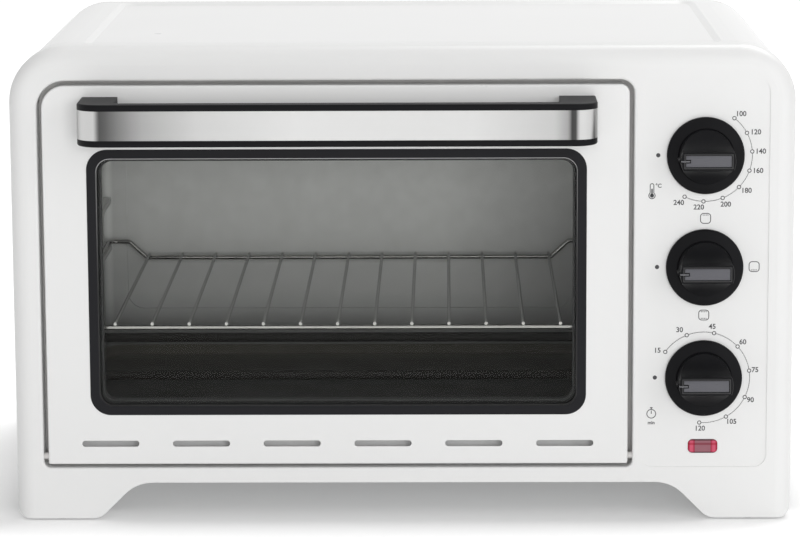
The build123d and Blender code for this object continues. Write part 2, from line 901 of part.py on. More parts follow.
def make_window_trim():
    """Frame in the window opening, with a flange that the glass lies on."""
    front = plate(window_outline(0), front_y - trim_proud, front_y + door_skin)
    edge = front.edges().filter_by(lambda e: abs(e.center().Y - front_y + trim_proud) < 0.01)
    front = fillet(edge, trim_proud / 2)
    flange = plate(window_outline(-glass_edge_gap), front_y + door_skin, front_y + trim_depth)
    hole = plate(window_outline(trim_band), front_y - 1, front_y + trim_depth + 1)
    return front + flange - hole


def make_glass_pane():
    """Flat tempered pane behind the trim."""
    start = front_y + trim_depth
    return plate(window_outline(glass_edge_gap), start, start + glass_depth)


def make_door_inner_panel():
    """Inner sheet of the door; its lip round the window clamps the glass."""
    rear = front_y + door_depth
    lip_front = front_y + trim_depth + glass_depth
    sheet_part = plate(door_outline(door_skin), rear - sheet, rear)
    lip = plate(window_outline(clamp_band), lip_front, rear)
    panel = sheet_part + lip - plate(window_outline(clamp_band + clamp_lip), lip_front - 1, rear + 1)
    low, high = arm_slot_heights(hinge_y, rear)
    for side in (-1, 1):
        x = door_offset + side * arm_plane
        half = arm_thickness / 2 + arm_slot_clearance
        panel = panel - block(x - half, x + 2 * half, rear - sheet - 1, rear + 1, low, high)
        x = door_offset + side * door_width / 2
        panel = panel - block(x - 12, x + 12, rear - sheet - 1, rear + 1, 0, door_bottom + door_skin + 1)
    return panel


# Handle

def handle_plan(inset, reach):
    """Top view of the handle's outer edge, round at its two front corners."""
    half = handle_width / 2 - inset
    front = front_y - reach + inset
    corners = [
        (handle_offset - half, front),
        (handle_offset + half, front),
        (handle_offset + half, front_y),
        (handle_offset - half, front_y),
    ]
    radius = handle_corner - inset
    return filleted_outline(corners, [radius, radius, 0, 0])


def make_handle_body():
    """Bar and two end blocks in one moulding, grooved for the strip."""
    bar = extrude(Pos(0, 0, handle_low) * handle_plan(0, handle_reach), amount=handle_height)
    rim = bar.edges().filter_by(lambda e: abs(e.center().Z - handle_low) < 0.01)
    rim = rim + bar.edges().filter_by(lambda e: abs(e.center().Z - handle_low - handle_height) < 0.01)
    rim = rim.filter_by(lambda e: e.center().Y < front_y - 0.5)
    bar = fillet(rim, handle_edge_round)
    gap_half = handle_width / 2 - handle_block_width
    gap_front = front_y - handle_reach + handle_thickness
    corners = [
        (handle_offset - gap_half, gap_front),
        (handle_offset + gap_half, gap_front),
        (handle_offset + gap_half, front_y + 1),
        (handle_offset - gap_half, front_y + 1),
    ]
    gap = filleted_outline(corners, [handle_inner_corner, handle_inner_corner, 0, 0])
    bar = bar - extrude(Pos(0, 0, handle_low - 1) * gap, amount=handle_height + 2)
    bar = bar - strip_blank()
    z = handle_low + handle_height / 2
    for x in handle_screw_places():
        bar = bar - peg_y(handle_screw_radius, front_y - screw_length * 2, front_y + 1, x, z)
    return bar


def strip_blank():
    """The steel strip as a bent band round the front and both ends."""
    base = Pos(0, 0, handle_low + strip_rise)
    outer = extrude(base * handle_plan(0, handle_reach), amount=strip_height)
    inner = extrude(base * handle_plan(strip_thickness, handle_reach), amount=strip_height)
    inner = inner + block(
        handle_offset - handle_width / 2 + strip_thickness, handle_offset + handle_width / 2 - strip_thickness,
        front_y - 1, front_y + 1, handle_low, handle_low + handle_height,
    )
    return outer - inner


def handle_screw_places():
    """Across positions of the two handle screws."""
    reach = handle_width / 2 - handle_block_width / 2
    return [handle_offset - reach, handle_offset + reach]


def make_handle_screws():
    """Two screws from inside the door into the handle's end blocks."""
    screws = []
    z = handle_low + handle_height / 2
    for x in handle_screw_places():
        shank = peg_y(handle_screw_radius, front_y - screw_length * 2, front_y + door_skin, x, z)
        head = peg_y(2 * handle_screw_radius, front_y + door_skin, front_y + door_skin + screw_head_depth, x, z)
        screws.append(shank + head)
    return Compound(children=screws)


# Hinge, arms and springs

def make_hinge_pin(side):
    """Pin pressed into the door's return and running in the frame's boss."""
    edge = door_offset + side * door_width / 2
    inner = edge - side * pin_in_door
    outer = edge + side * (door_gap + pin_in_frame - hinge_pin_end_gap)
    pin = peg_x(pin_radius, inner, outer, hinge_y, hinge_z)
    tip = pin.edges().filter_by(lambda e: abs(e.center().X - outer) < 0.01)
    return chamfer(tip, hinge_pin_chamfer)


def arm_point(radius, angle):
    """Y and Z of a point on the arm's arc; the angle runs from straight up towards the back."""
    turn = math.radians(angle)
    return hinge_y + radius * math.sin(turn), hinge_z + radius * math.cos(turn)


def make_door_arm(side):
    """Quarter-round arm riveted to the door's return; it stays on one circle as the door turns."""
    x = door_offset + side * arm_plane
    view = Plane((x - arm_thickness / 2, 0, 0), x_dir=(0, 1, 0), z_dir=(1, 0, 0))
    inner = arm_radius - arm_width / 2
    outer = arm_radius + arm_width / 2
    middle_angle = (arm_start + arm_end) / 2
    angles = (arm_start, middle_angle, arm_end)
    outer_arc = ThreePointArc(*[arm_point(outer, angle) for angle in angles])
    end_line = Line(arm_point(outer, arm_end), arm_point(inner, arm_end))
    inner_arc = ThreePointArc(*[arm_point(inner, angle) for angle in reversed(angles)])
    start_line = Line(arm_point(inner, arm_start), arm_point(outer, arm_start))
    band = make_face([outer_arc, end_line, inner_arc, start_line])
    arm = extrude(view * band, amount=arm_thickness)
    foot_low = hinge_z + inner - arm_foot_below
    foot_high = hinge_z + outer + arm_foot_above
    front = front_y + door_skin + arm_foot_gap
    rear = front_y + door_depth - sheet - arm_foot_gap
    foot = block(x - arm_thickness / 2, x + arm_thickness / 2, front, rear, foot_low, foot_high)
    y, z = spring_front_hook()
    return arm + foot - peg_x(arm_hole_radius, x - 3, x + 3, y, z)


def spring_front_hook():
    """Hole near the free end of the arm."""
    return arm_point(arm_radius, arm_end - math.degrees(arm_hole_inset / arm_radius))


def spring_rear_hook():
    """Hole in the base lug behind the arm."""
    y, z = spring_front_hook()
    run = spring_coil_length + 2 * spring_leg
    return y + math.sqrt(run ** 2 - lug_rise ** 2), z + lug_rise


def make_door_spring(side):
    """Tension spring of one wire: a helix whose ends turn in to two straight legs and hooks."""
    plate_x = door_offset + side * arm_plane
    beside = arm_thickness / 2 + spring_wire + spring_side_gap
    x = plate_x + side * beside
    slack = arm_hole_radius - spring_wire - hook_gap
    front = Vector(x, *spring_front_hook())
    rear = Vector(x, *spring_rear_hook())
    along = (rear - front).normalized()
    front = front + along * slack
    rear = rear - along * slack
    leg = ((rear - front).length - spring_coil_length) / 2
    view = Plane(origin=front + along * leg, x_dir=(1, 0, 0), z_dir=along)
    pitch = spring_coil_length / spring_turns
    helix = view * Helix(pitch=pitch, height=spring_coil_length, radius=spring_radius)
    section = Plane(origin=helix @ 0, z_dir=helix % 0) * Circle(spring_wire)
    spring = sweep(section, path=helix, is_frenet=True)
    for turn_end, tip, coil_end in ((helix @ 0, front, 0), (helix @ 1, rear, spring_coil_length)):
        centre = front + along * (leg + coil_end)
        spring = spring + Pos(*turn_end) * Sphere(spring_wire)
        spring = spring + rod_between(turn_end, centre, spring_wire)
        spring = spring + Pos(*centre) * Sphere(spring_wire)
        spring = spring + rod_between(centre, tip, spring_wire)
        spring = spring + Pos(*tip) * Sphere(spring_wire)
        hook_end = Vector(plate_x - side * beside, tip.Y, tip.Z)
        spring = spring + rod_between(tip, hook_end, spring_wire)
    return spring


def rod_between(start, stop, radius):
    """Straight round wire between two points."""
    along = stop - start
    return extrude(Plane(origin=start, z_dir=along) * Circle(radius), amount=along.length)


# Rack

def make_wire_rack():
    """Looped rim wire with raised sides, and cross wires lying on its front and rear rails."""
    half = rack_width / 2 - rim_wire
    start = rack_front_y
    stop = rack_back_y
    high = rack_height + rack_lift
    path = FilletPolyline(
        (door_offset, start, rack_height),
        (door_offset + half - rack_corner_run, start, rack_height),
        (door_offset + half, start + rack_corner_depth, high),
        (door_offset + half, stop, high),
        (door_offset + half - rack_rear_run, stop, high),
        (door_offset + half - rack_rear_run - rack_rear_slope, stop, rack_height),
        (door_offset, stop, rack_height),
        radius=[rim_bend, rim_bend, rim_bend, rim_step_bend, rim_step_bend],
    )
    section = Plane(origin=(door_offset, start, rack_height), z_dir=(1, 0, 0)) * Circle(rim_wire)
    right_rim = sweep(section, path=path)
    left_rim = mirror(right_rim, about=Plane((door_offset, 0, 0), z_dir=(1, 0, 0)))
    rack = right_rim + left_rim
    wire_z = rack_height + rim_wire + grid_wire - wire_bite
    for i in range(grid_count):
        x = door_offset + (i - (grid_count - 1) / 2) * grid_pitch
        rack = rack + peg_y(grid_wire, start - rim_wire, stop + rim_wire, x, wire_z)
    return rack


# Controls

def make_knob(z):
    """Knob: domed flange, round boss scooped on both sides to leave a bar, pointer and bore."""
    panel_y = front_y + recess_depth - knob_gap
    profile = Polyline(
        (0, 0),
        (knob_flange_radius, 0),
        (knob_flange_radius, knob_flange_edge),
        (knob_boss_radius, knob_flange_rise),
        (0, knob_flange_rise),
        close=True,
    )
    axis_plane = Plane((0, 0, 0), x_dir=(1, 0, 0), z_dir=(0, -1, 0))
    flange = revolve(axis_plane * make_face(profile), axis=Axis.Z)
    rim = flange.edges().filter_by(lambda e: abs(e.center().Z - knob_flange_edge) < 0.01)
    flange = fillet(rim, knob_edge_round)
    boss = Pos(0, 0, knob_reach / 2) * Cylinder(knob_boss_radius, knob_reach)
    top_rim = boss.edges().filter_by(lambda e: abs(e.center().Z - knob_reach) < 0.01)
    boss = fillet(top_rim, knob_edge_round)
    for side in (-1, 1):
        centre = Pos(0, side * (knob_bar_half + knob_scoop_radius), knob_flange_rise + knob_scoop_radius)
        boss = boss - centre * Rot(0, 90, 0) * Cylinder(knob_scoop_radius, 4 * knob_boss_radius)
        upper_low = knob_flange_rise + knob_scoop_radius
        if knob_reach > upper_low:
            edge = side * knob_bar_half
            reach = 2 * knob_boss_radius
            boss = boss - block(-reach, reach, edge, side * reach, upper_low, knob_reach + 1)
    face_width = 2 * (knob_bar_half - knob_face_border)
    face_outline = RectangleRounded(knob_face_length, face_width, knob_edge_round)
    face = Pos(0, 0, knob_reach - knob_face_recess) * face_outline
    boss = boss - extrude(face, amount=knob_face_recess + 1)
    nib_place = Pos(-knob_boss_radius, 0, knob_reach - pointer_drop)
    nib = nib_place * Rot(0, 0, 45) * Box(pointer_size, pointer_size, pointer_height)
    notch_place = Pos(notch_length / 2 - knob_boss_radius, 0, knob_reach - knob_face_recess)
    notch = notch_place * Box(notch_length, notch_width, 2 * notch_depth)
    knob = flange + boss + nib - notch
    bore = Pos(0, 0, knob_bore_depth / 2) * Cylinder(shaft_radius, knob_bore_depth)
    flat = block(-shaft_radius, shaft_radius, shaft_flat, shaft_radius + 1, 0, knob_bore_depth)
    knob = knob - (bore - flat)
    return front_facing(panel_y, z) * knob


def front_facing(y, z):
    """Turn a piece built along +Z so that it looks out of the front at one knob axis."""
    return Pos(knob_offset, y, z) * Rot(90, 0, 0)


def make_shaft(z):
    """D-shaft from the unit's bushing into the knob."""
    front = front_y + recess_depth - knob_gap - knob_bore_depth
    rear = unit_front() + shaft_tail
    rod = peg_y(shaft_radius, front, rear, knob_offset, z)
    flat_z = z + shaft_flat
    flat = block(
        knob_offset - shaft_radius, knob_offset + shaft_radius,
        front - 1, front + knob_bore_depth, flat_z, flat_z + shaft_radius,
    )
    return rod - flat


def unit_front():
    """Depth of the front faces of the units, behind the bracket."""
    return front_y + bracket_setback + bracket_sheet


def bushing(z):
    """Round neck of a unit through the bracket and the frame, with the shaft's bore."""
    start = front_y + recess_depth + bushing_setback
    bore_end = unit_front() + shaft_tail + shaft_end_gap
    neck = peg_y(bushing_radius, start, unit_front(), knob_offset, z)
    bore = peg_y(shaft_radius + shaft_clearance, start - 1, bore_end, knob_offset, z)
    return neck, bore


def make_thermostat():
    """Thermostat: stepped body with a bushing, a contact block and two tabs."""
    z = knob_heights()[0]
    start = unit_front()
    neck, bore = bushing(z)
    x = knob_offset
    step = start + thermostat_drum_depth
    rear = step + thermostat_block_depth
    half_width_x = thermostat_block_width / 2
    half_height_z = thermostat_block_height / 2
    body = peg_y(thermostat_radius, start, step, x, z)
    body = body + block(x - half_width_x, x + half_width_x, step, rear, z - half_height_z, z + half_height_z)
    for offset in (-thermostat_tab_spread, thermostat_tab_spread):
        low = z + offset - tab_width / 2
        body = body + block(x, x + tab_thickness, rear, rear + tab_length, low, low + tab_width)
    return body + neck - bore


def make_function_selector():
    """Rotary switch: round body, square rear block and a row of tabs."""
    z = knob_heights()[1]
    start = unit_front()
    neck, bore = bushing(z)
    x = knob_offset
    step = start + selector_drum_depth
    rear = step + selector_block_depth
    half = selector_block / 2
    body = peg_y(selector_radius, start, step, x, z)
    body = body + block(x - half, x + half, step, rear, z - half, z + half)
    for i in range(selector_tabs):
        tab_x = x + (i - (selector_tabs - 1) / 2) * selector_tab_pitch
        left = tab_x - tab_thickness / 2
        low = z - tab_width / 2
        body = body + block(left, left + tab_thickness, rear, rear + tab_length, low, low + tab_width)
    return body + neck - bore


def make_timer():
    """Clockwork timer: rounded drum in front of a gear housing."""
    z = knob_heights()[2]
    start = unit_front()
    neck, bore = bushing(z)
    x = knob_offset
    drum = rounded(timer_width, timer_height, timer_corner, x, z)
    body = plate(drum, start, start + timer_drum_depth)
    post_start = start + timer_drum_depth
    body = body + peg_y(shaft_radius, post_start, post_start + timer_post, x, z)
    return body + neck - bore


def make_timer_bell():
    """Shallow bell cup whose crown sits on the timer's rear post."""
    z = knob_heights()[2]
    crown_y = unit_front() + timer_drum_depth + timer_post
    cup = Pos(0, 0, bell_depth / 2) * Cylinder(bell_radius, bell_depth)
    crown = cup.edges().filter_by(lambda e: abs(e.center().Z - bell_depth) < 0.01)
    cup = fillet(crown, 4 * bell_wall)
    hollow = Pos(0, 0, bell_depth / 2 - bell_wall) * Cylinder(bell_radius - bell_wall, bell_depth)
    inner_crown = hollow.edges().filter_by(lambda e: abs(e.center().Z - bell_depth + bell_wall) < 0.01)
    hollow = fillet(inner_crown, 3 * bell_wall)
    return Pos(knob_offset, crown_y + bell_wall - bell_depth, z) * Rot(-90, 0, 0) * (cup - hollow)


def make_control_bracket():
    """Plate on the frame's posts that carries the three units."""
    middle = (knob_heights()[0] + knob_heights()[2]) / 2
    start = front_y + bracket_setback
    board = rounded(bracket_width, bracket_height, bracket_corner, knob_offset, middle)
    bracket = plate(board, start, start + bracket_sheet)
    for z in knob_heights():
        bracket = bracket - peg_y(bushing_radius, start - 1, start + bracket_sheet + 1, knob_offset, z)
    return bracket


def make_pilot_lens():
    """Clear lens through the frame, with a flange behind the wall."""
    width = lamp_width - 2 * lamp_clearance
    height = lamp_depth - 2 * lamp_clearance
    front = front_y + recess_depth - lamp_proud
    rear = front_y + frame_wall
    window = rounded(width, height, height / 3, knob_offset, lamp_height)
    lens = plate(window, front, rear)
    edge = lens.edges().filter_by(lambda e: abs(e.center().Y - front) < 0.01)
    lens = fillet(edge, lamp_edge_round)
    flange_width = lamp_width + 2 * lamp_flange
    flange_height = lamp_depth + 2 * lamp_flange
    flange = rounded(flange_width, flange_height, lamp_flange, knob_offset, lamp_height)
    return lens + plate(flange, rear, rear + lamp_flange_depth)


def make_pilot_lamp():
    """Neon lamp holder clipped behind the lens."""
    start = front_y + frame_wall + lamp_flange_depth
    rear = start + holder_depth
    z = lamp_height
    half = holder_width / 2
    low = z - holder_height / 2
    holder = block(knob_offset - half, knob_offset + half, start, rear, low, low + holder_height)
    for side in (-1, 1):
        left = knob_offset + side * holder_tab_offset - tab_thickness / 2
        low = z - holder_tab_height / 2
        high = low + holder_tab_height
        holder = holder + block(left, left + tab_thickness, rear, rear + tab_length, low, high)
    return holder


def make_heat_shield():
    """Upright sheet between the cavity and the control bay, holed for the rods."""
    high = cavity_top_height + mouth_border
    wall = block(
        shield_offset, shield_offset + sheet,
        cavity_front_y, back_y - 2 * sheet - shield_rear_gap, base_top, high,
    )
    for y, z in rod_places():
        wall = wall - peg_x(shield_hole_radius, shield_offset - 1, shield_offset + 2, y, z)
    return wall


def make_terminal_block():
    """Supply terminals on the base, in the rear of the control bay."""
    x = knob_offset
    y = back_y - terminal_setback
    half = terminal_width / 2
    step = base_top + terminal_height
    top = step + terminal_ridge_height
    body = block(x - half, x + half, y - terminal_depth / 2, y + terminal_depth / 2, base_top, step)
    ridge = terminal_ridge_depth / 2
    body = body + block(x - half, x + half, y - ridge, y + ridge, step, top)
    for i in range(terminal_count):
        hole_x = x + (i - (terminal_count - 1) / 2) * terminal_pitch
        body = body - peg_z(terminal_hole_radius, top - terminal_hole_depth, top + 1, hole_x, y)
    return body


def make_cable_gland():
    """Grommet in the back's cord hole, flanged on both faces."""
    outer_end = back_y + gland_flange_depth
    inner_end = back_y - sheet - gland_collar_depth
    outside = peg_y(gland_flange_radius, back_y, outer_end, gland_offset, gland_height)
    rim = outside.edges().filter_by(lambda e: abs(e.center().Y - outer_end) < 0.01)
    outside = fillet(rim, gland_flange_round)
    neck = peg_y(gland_neck_radius, back_y - sheet, back_y, gland_offset, gland_height)
    inside = peg_y(gland_collar_radius, inner_end, back_y - sheet, gland_offset, gland_height)
    bore = peg_y(inlet_radius, inner_end - 1, outer_end + 1, gland_offset, gland_height)
    return outside + neck + inside - bore


def make_back_screws():
    """Pan-head screws that hold the back to the wrap's flange."""
    screws = []
    for x, z in back_screw_places():
        shank = peg_y(screw_radius, back_y - screw_length, back_y, x, z)
        head = peg_y(screw_head_radius, back_y, back_y + screw_head_depth, x, z)
        rim = head.edges().filter_by(lambda e: abs(e.center().Y - back_y - screw_head_depth) < 0.01)
        screws.append(shank + fillet(rim, screw_head_round))
    return Compound(children=screws)


def make_base_screws():
    """Screws through the base into the rear feet."""
    screws = []
    for x, y in base_screw_places():
        shank = peg_z(screw_radius, base_height - screw_length + 1, base_top, x, y)
        head = peg_z(screw_head_radius, base_top, base_top + screw_head_depth, x, y)
        screws.append(shank + head)
    return Compound(children=screws)


save("front_frame", make_front_frame())
save("outer_shell", make_outer_shell())
save("back_panel", make_back_panel())
save("base_plate", make_base_plate())
save("mouth_frame", make_mouth_frame())
save("cavity_left_wall", make_cavity_wall(-1))
save("cavity_right_wall", make_cavity_wall(1))
save("cavity_roof", make_cavity_roof())
save("cavity_floor", make_cavity_floor())
save("cavity_back", make_cavity_back())
save("door_panel", make_door_panel())
save("window_trim", make_window_trim())
save("glass_pane", make_glass_pane())
save("door_inner_panel", make_door_inner_panel())
save("handle_body", make_handle_body())
save("handle_strip", strip_blank())
save("handle_screws", make_handle_screws())
save("wire_rack", make_wire_rack())

front_pad_y = front_y + frame_depth / 2
rear_pad_y = back_y - rear_foot_setback
for side, name in ((-1, "left"), (1, "right")):
    save(f"foot_pad_front_{name}", make_foot_pad(side * (half_width - front_pad_inset), front_pad_y))
    save(f"foot_pad_rear_{name}", make_foot_pad(side * (half_width - rear_foot_inset), rear_pad_y))
    save(f"rear_foot_{name}", make_rear_foot(side * (half_width - rear_foot_inset)))
    save(f"rear_spacer_{name}", make_spacer(side * (half_width - spacer_inset)))
    save(f"hinge_pin_{name}", make_hinge_pin(side))
    save(f"door_arm_{name}", make_door_arm(side))
    save(f"door_spring_{name}", make_door_spring(side))
    save(f"rod_insulators_{name}", make_insulators(side))

for (y, z), name in zip(rod_places(), ("lower_front", "lower_rear", "upper_front", "upper_rear")):
    save(f"heating_rod_{name}", make_rod(y, z))

for z, name in zip(knob_heights(), ("temperature", "function", "timer")):
    save(f"knob_{name}", make_knob(z))
    save(f"shaft_{name}", make_shaft(z))

save("thermostat", make_thermostat())
save("function_selector", make_function_selector())
save("timer", make_timer())
save("timer_bell", make_timer_bell())
save("control_bracket", make_control_bracket())
save("pilot_lens", make_pilot_lens())
save("pilot_lamp", make_pilot_lamp())
save("heat_shield", make_heat_shield())
save("terminal_block", make_terminal_block())
save("cable_gland", make_cable_gland())
save("back_screws", make_back_screws())
save("base_screws", make_base_screws())
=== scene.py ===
import math

import bpy
from mathutils import Matrix, Vector


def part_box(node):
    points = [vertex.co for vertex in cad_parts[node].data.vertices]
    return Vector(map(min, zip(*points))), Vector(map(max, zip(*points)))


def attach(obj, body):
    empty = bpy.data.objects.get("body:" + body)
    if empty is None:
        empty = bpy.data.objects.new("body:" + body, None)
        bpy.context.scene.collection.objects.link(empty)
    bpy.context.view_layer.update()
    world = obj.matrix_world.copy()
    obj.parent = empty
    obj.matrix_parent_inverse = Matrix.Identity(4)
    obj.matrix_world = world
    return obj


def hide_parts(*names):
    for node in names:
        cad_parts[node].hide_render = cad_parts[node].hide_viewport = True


bl_info = {
    "name": "Mini oven",
    "version": (1, 0, 0),
    "blender": (4, 5, 0),
    "location": "3D View > Sidebar > Mini Oven",
    "description": "Finishes a countertop mini oven round its CAD frame",
    "category": "Add Mesh",
}

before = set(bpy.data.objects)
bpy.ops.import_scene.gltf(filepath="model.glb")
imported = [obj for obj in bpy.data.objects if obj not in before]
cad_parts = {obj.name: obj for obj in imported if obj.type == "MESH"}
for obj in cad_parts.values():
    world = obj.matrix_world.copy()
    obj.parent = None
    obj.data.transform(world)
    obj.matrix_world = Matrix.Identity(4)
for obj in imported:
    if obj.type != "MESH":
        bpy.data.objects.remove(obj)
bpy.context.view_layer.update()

MM = 0.001
FULL_TURN = 2 * math.pi
FRONT_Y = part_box("front_frame")[0].y
KNOB_NAMES = ("temperature", "function", "timer")

# Stage: the floor keeps the whole shadow inside an oblong and fades it out round that
FLOOR_RADIUS = 14
SHADOW_HALF_X, SHADOW_HALF_Y = 0.24, 0.14
SHADOW_FADE = (1.0, 1.4)
FLOOR_GLOW = (0.20, 0.62)
ROOM_LIGHT = 0.50
LIGHTS = (
    ("key", (0.3, -2.7, 0.45), 1.1, 26.5),
    ("fill", (1.7, -1.9, 1.0), 1.5, 8.0),
    ("top", (0.9, 1.2, 2.1), 1.6, 28.0),
)
LIGHTS_AIM = Vector((0, 0, 0.14))
CAMERA_PLACE = (0.0268, -2.230, 0.5220)
CAMERA_PITCH, CAMERA_YAW, CAMERA_ROLL = 9.93, -0.774, -0.271
FOCAL_PX, FRAME_WIDTH_PX, SENSOR_MM = 3503.1, 800, 36.0

# Window edge
TRIM_BAND = 5.45 * MM
EDGE_WIDTH = 0.5 * MM
EDGE_DEPTH = 2.4 * MM
EDGE_CORNER = 8.7 * MM

# Knobs, built along +Z with the grip along X
FLANGE_RISE = 5.2 * MM
SCOOP_RADIUS = 21.0 * MM
WELL_END, WELL_HALF = 13.9 * MM, 3.75 * MM
RIM_END, RIM_HALF = 15.0 * MM, 4.8 * MM
INLAY_END, INLAY_HALF = 13.6 * MM, 3.45 * MM
NOTCH_STOP, NOTCH_HALF = -10.6 * MM, 1.1 * MM
POINTER_START, POINTER_STOP, POINTER_HALF = -16.4 * MM, -11.2 * MM, 0.4 * MM

# Print: places in mm from the axis of the knob that it belongs to
SCALES = (
    ("temperature", 52.6, -24.1, (
        ("100", 21.1, 25.0), ("120", 30.1, 13.9), ("140", 33.2, 2.2), ("160", 31.7, -9.6),
        ("180", 24.9, -21.7), ("200", 12.5, -30.1), ("220", -3.8, -31.8), ("240", -15.9, -29.0))),
    ("timer", 145.7, -34.3, (
        ("15", -28.1, 16.8), ("30", -14.7, 29.5), ("45", 5.2, 31.5), ("60", 23.8, 21.9),
        ("75", 31.5, 4.6), ("90", 28.9, -14.1), ("105", 17.4, -27.6), ("120", -1.8, -31.8))),
)
OFF_DOTS = (("temperature", 28.5), ("function", 28.7), ("timer", 29.5))
OFF_DOT_RADIUS = 1.3 * MM
HEAT_SIGNS = (
    ("top_heat", 0.4, 29.8, (1,)), ("bottom_heat", 30.1, 0.1, (-1,)), ("full_heat", -0.1, -29.7, (-1, 1)),
)
HEAT_SIGN_SIZE = 6.6 * MM
HEAT_SIGN_CORNER = 2.1 * MM
DASH_HALF, DASH_STEP = 0.3 * MM, 0.95 * MM
THERMOMETER = (-32.1 * MM, -24.6 * MM)
TUBE_RADIUS, TUBE_TOP = 1.1 * MM, 6.2 * MM
STOPWATCH = (-31.5 * MM, -22.6 * MM)


class OvenSizes(bpy.types.PropertyGroup):
    """Sizes of the pieces that are modelled here."""

    figure_height: bpy.props.FloatProperty(
        name="Figure height", description="Size of the figures round the knobs",
        default=4.3 * MM, unit="LENGTH")
    print_height: bpy.props.FloatProperty(
        name="Print height", description="How far the print stands off the front",
        default=0.04 * MM, unit="LENGTH")
    line_width: bpy.props.FloatProperty(
        name="Line width", description="Width of the printed lines",
        default=0.50 * MM, unit="LENGTH")
    scale_radius: bpy.props.FloatProperty(
        name="Scale radius", description="Radius of the ring of marks round a knob",
        default=28.2 * MM, unit="LENGTH")
    mark_radius: bpy.props.FloatProperty(
        name="Mark radius", description="Radius of one open mark",
        default=1.05 * MM, unit="LENGTH")
    recess_depth: bpy.props.FloatProperty(
        name="Recess depth", description="Depth of the field that the knobs stand in",
        default=0.8 * MM, unit="LENGTH")
    knob_boss_radius: bpy.props.FloatProperty(
        name="Knob boss radius", description="Radius of the knob's raised middle",
        default=16.25 * MM, unit="LENGTH")
    knob_bar_half: bpy.props.FloatProperty(
        name="Half bar", description="Half the thickness of the knob's grip bar",
        default=5.4 * MM, unit="LENGTH")


class OvenColours(bpy.types.PropertyGroup):
    """Main colours."""

    white: bpy.props.FloatVectorProperty(
        name="White", description="Enamel and moulding", subtype="COLOR", default=(0.82, 0.82, 0.815))
    black: bpy.props.FloatVectorProperty(
        name="Black", description="Knobs and handle", subtype="COLOR", default=(0.008, 0.008, 0.009))
    ink: bpy.props.FloatVectorProperty(
        name="Ink", description="Print on the front", subtype="COLOR", default=(0.06, 0.06, 0.064))
    cavity: bpy.props.FloatVectorProperty(
        name="Cavity", description="Coating inside the oven", subtype="COLOR", default=(0.92, 0.92, 0.90))


def sizes():
    return bpy.context.scene.oven_sizes


def colours():
    return bpy.context.scene.oven_colours


# Finishes

def mottle(nodes, links, vector, scale, dark, light, detail=2.0):
    """A broad noise, and the colour that goes from dark to light with it."""
    noise = nodes.new("ShaderNodeTexNoise")
    noise.inputs["Scale"].default_value = scale
    noise.inputs["Detail"].default_value = detail
    links.new(vector, noise.inputs["Vector"])
    tone = nodes.new("ShaderNodeMix")
    tone.data_type = "RGBA"
    tone.inputs["A"].default_value = (*dark, 1)
    tone.inputs["B"].default_value = (*light, 1)
    links.new(noise.outputs["Fac"], tone.inputs["Factor"])
    return noise.outputs["Fac"], tone.outputs["Result"]


def tint(nodes, links, place, colour, axis, rows):
    """Multiply a colour along an axis by rows of a place in mm and the tone or colour there."""
    split = nodes.new("ShaderNodeSeparateXYZ")
    links.new(place, split.inputs["Vector"])
    first, last = rows[0][0], rows[-1][0]
    along = nodes.new("ShaderNodeMapRange")
    along.inputs["From Min"].default_value = first * MM
    along.inputs["From Max"].default_value = last * MM
    links.new(split.outputs[axis], along.inputs["Value"])
    ramp = nodes.new("ShaderNodeValToRGB")
    stops = ramp.color_ramp.elements
    for at, shade in rows[1:-1]:
        stops.new((at - first) / (last - first))
    for stop, (at, shade) in zip(stops, rows):
        stop.color = (*shade, 1) if isinstance(shade, tuple) else (shade, shade, shade, 1)
    links.new(along.outputs["Result"], ramp.inputs["Fac"])
    product = nodes.new("ShaderNodeMix")
    product.data_type = "RGBA"
    product.blend_type = "MULTIPLY"
    product.inputs["Factor"].default_value = 1.0
    links.new(colour, product.inputs["A"])
    links.new(ramp.outputs["Color"], product.inputs["B"])
    return product.outputs["Result"]


def finish(name, colour, roughness, metallic=0.0, vary=0.04, vary_scale=18.0, grain=0.0, grain_scale=900.0,
           stretch=(1, 1, 1), rough_vary=0.06, coat_weight=0.0, specular=0.5, bands=()):
    """A surface whose colour, gloss and fine relief vary over the object, tinted by bands along its axes."""
    made = bpy.data.materials.new(name)
    made.use_nodes = True
    nodes, links = made.node_tree.nodes, made.node_tree.links
    shader = nodes["Principled BSDF"]
    shader.inputs["Metallic"].default_value = metallic
    shader.inputs["Coat Weight"].default_value = coat_weight
    shader.inputs["Coat Roughness"].default_value = 0.12
    shader.inputs["Specular IOR Level"].default_value = specular
    place = nodes.new("ShaderNodeTexCoord").outputs["Object"]
    turn = nodes.new("ShaderNodeMapping")
    turn.inputs["Scale"].default_value = stretch
    links.new(place, turn.inputs["Vector"])
    light = [min(1.0, c * (1 + vary)) for c in colour]
    dark = [c * (1 - vary) for c in colour]
    broad, tone = mottle(nodes, links, turn.outputs["Vector"], vary_scale, dark, light, detail=4.0)
    for axis, rows in bands:
        tone = tint(nodes, links, place, tone, axis, rows)
    links.new(tone, shader.inputs["Base Color"])
    gloss = nodes.new("ShaderNodeMapRange")
    gloss.inputs["To Min"].default_value = max(0.02, roughness - rough_vary)
    gloss.inputs["To Max"].default_value = min(1.0, roughness + rough_vary)
    links.new(broad, gloss.inputs["Value"])
    links.new(gloss.outputs["Result"], shader.inputs["Roughness"])
    if grain:
        fine = nodes.new("ShaderNodeTexNoise")
        fine.inputs["Scale"].default_value = grain_scale
        fine.inputs["Detail"].default_value = 2.0
        links.new(turn.outputs["Vector"], fine.inputs["Vector"])
        relief = nodes.new("ShaderNodeBump")
        relief.inputs["Strength"].default_value = grain
        relief.inputs["Distance"].default_value = 0.1 * MM
        links.new(fine.outputs["Fac"], relief.inputs["Height"])
        links.new(relief.outputs["Normal"], shader.inputs["Normal"])
    return made


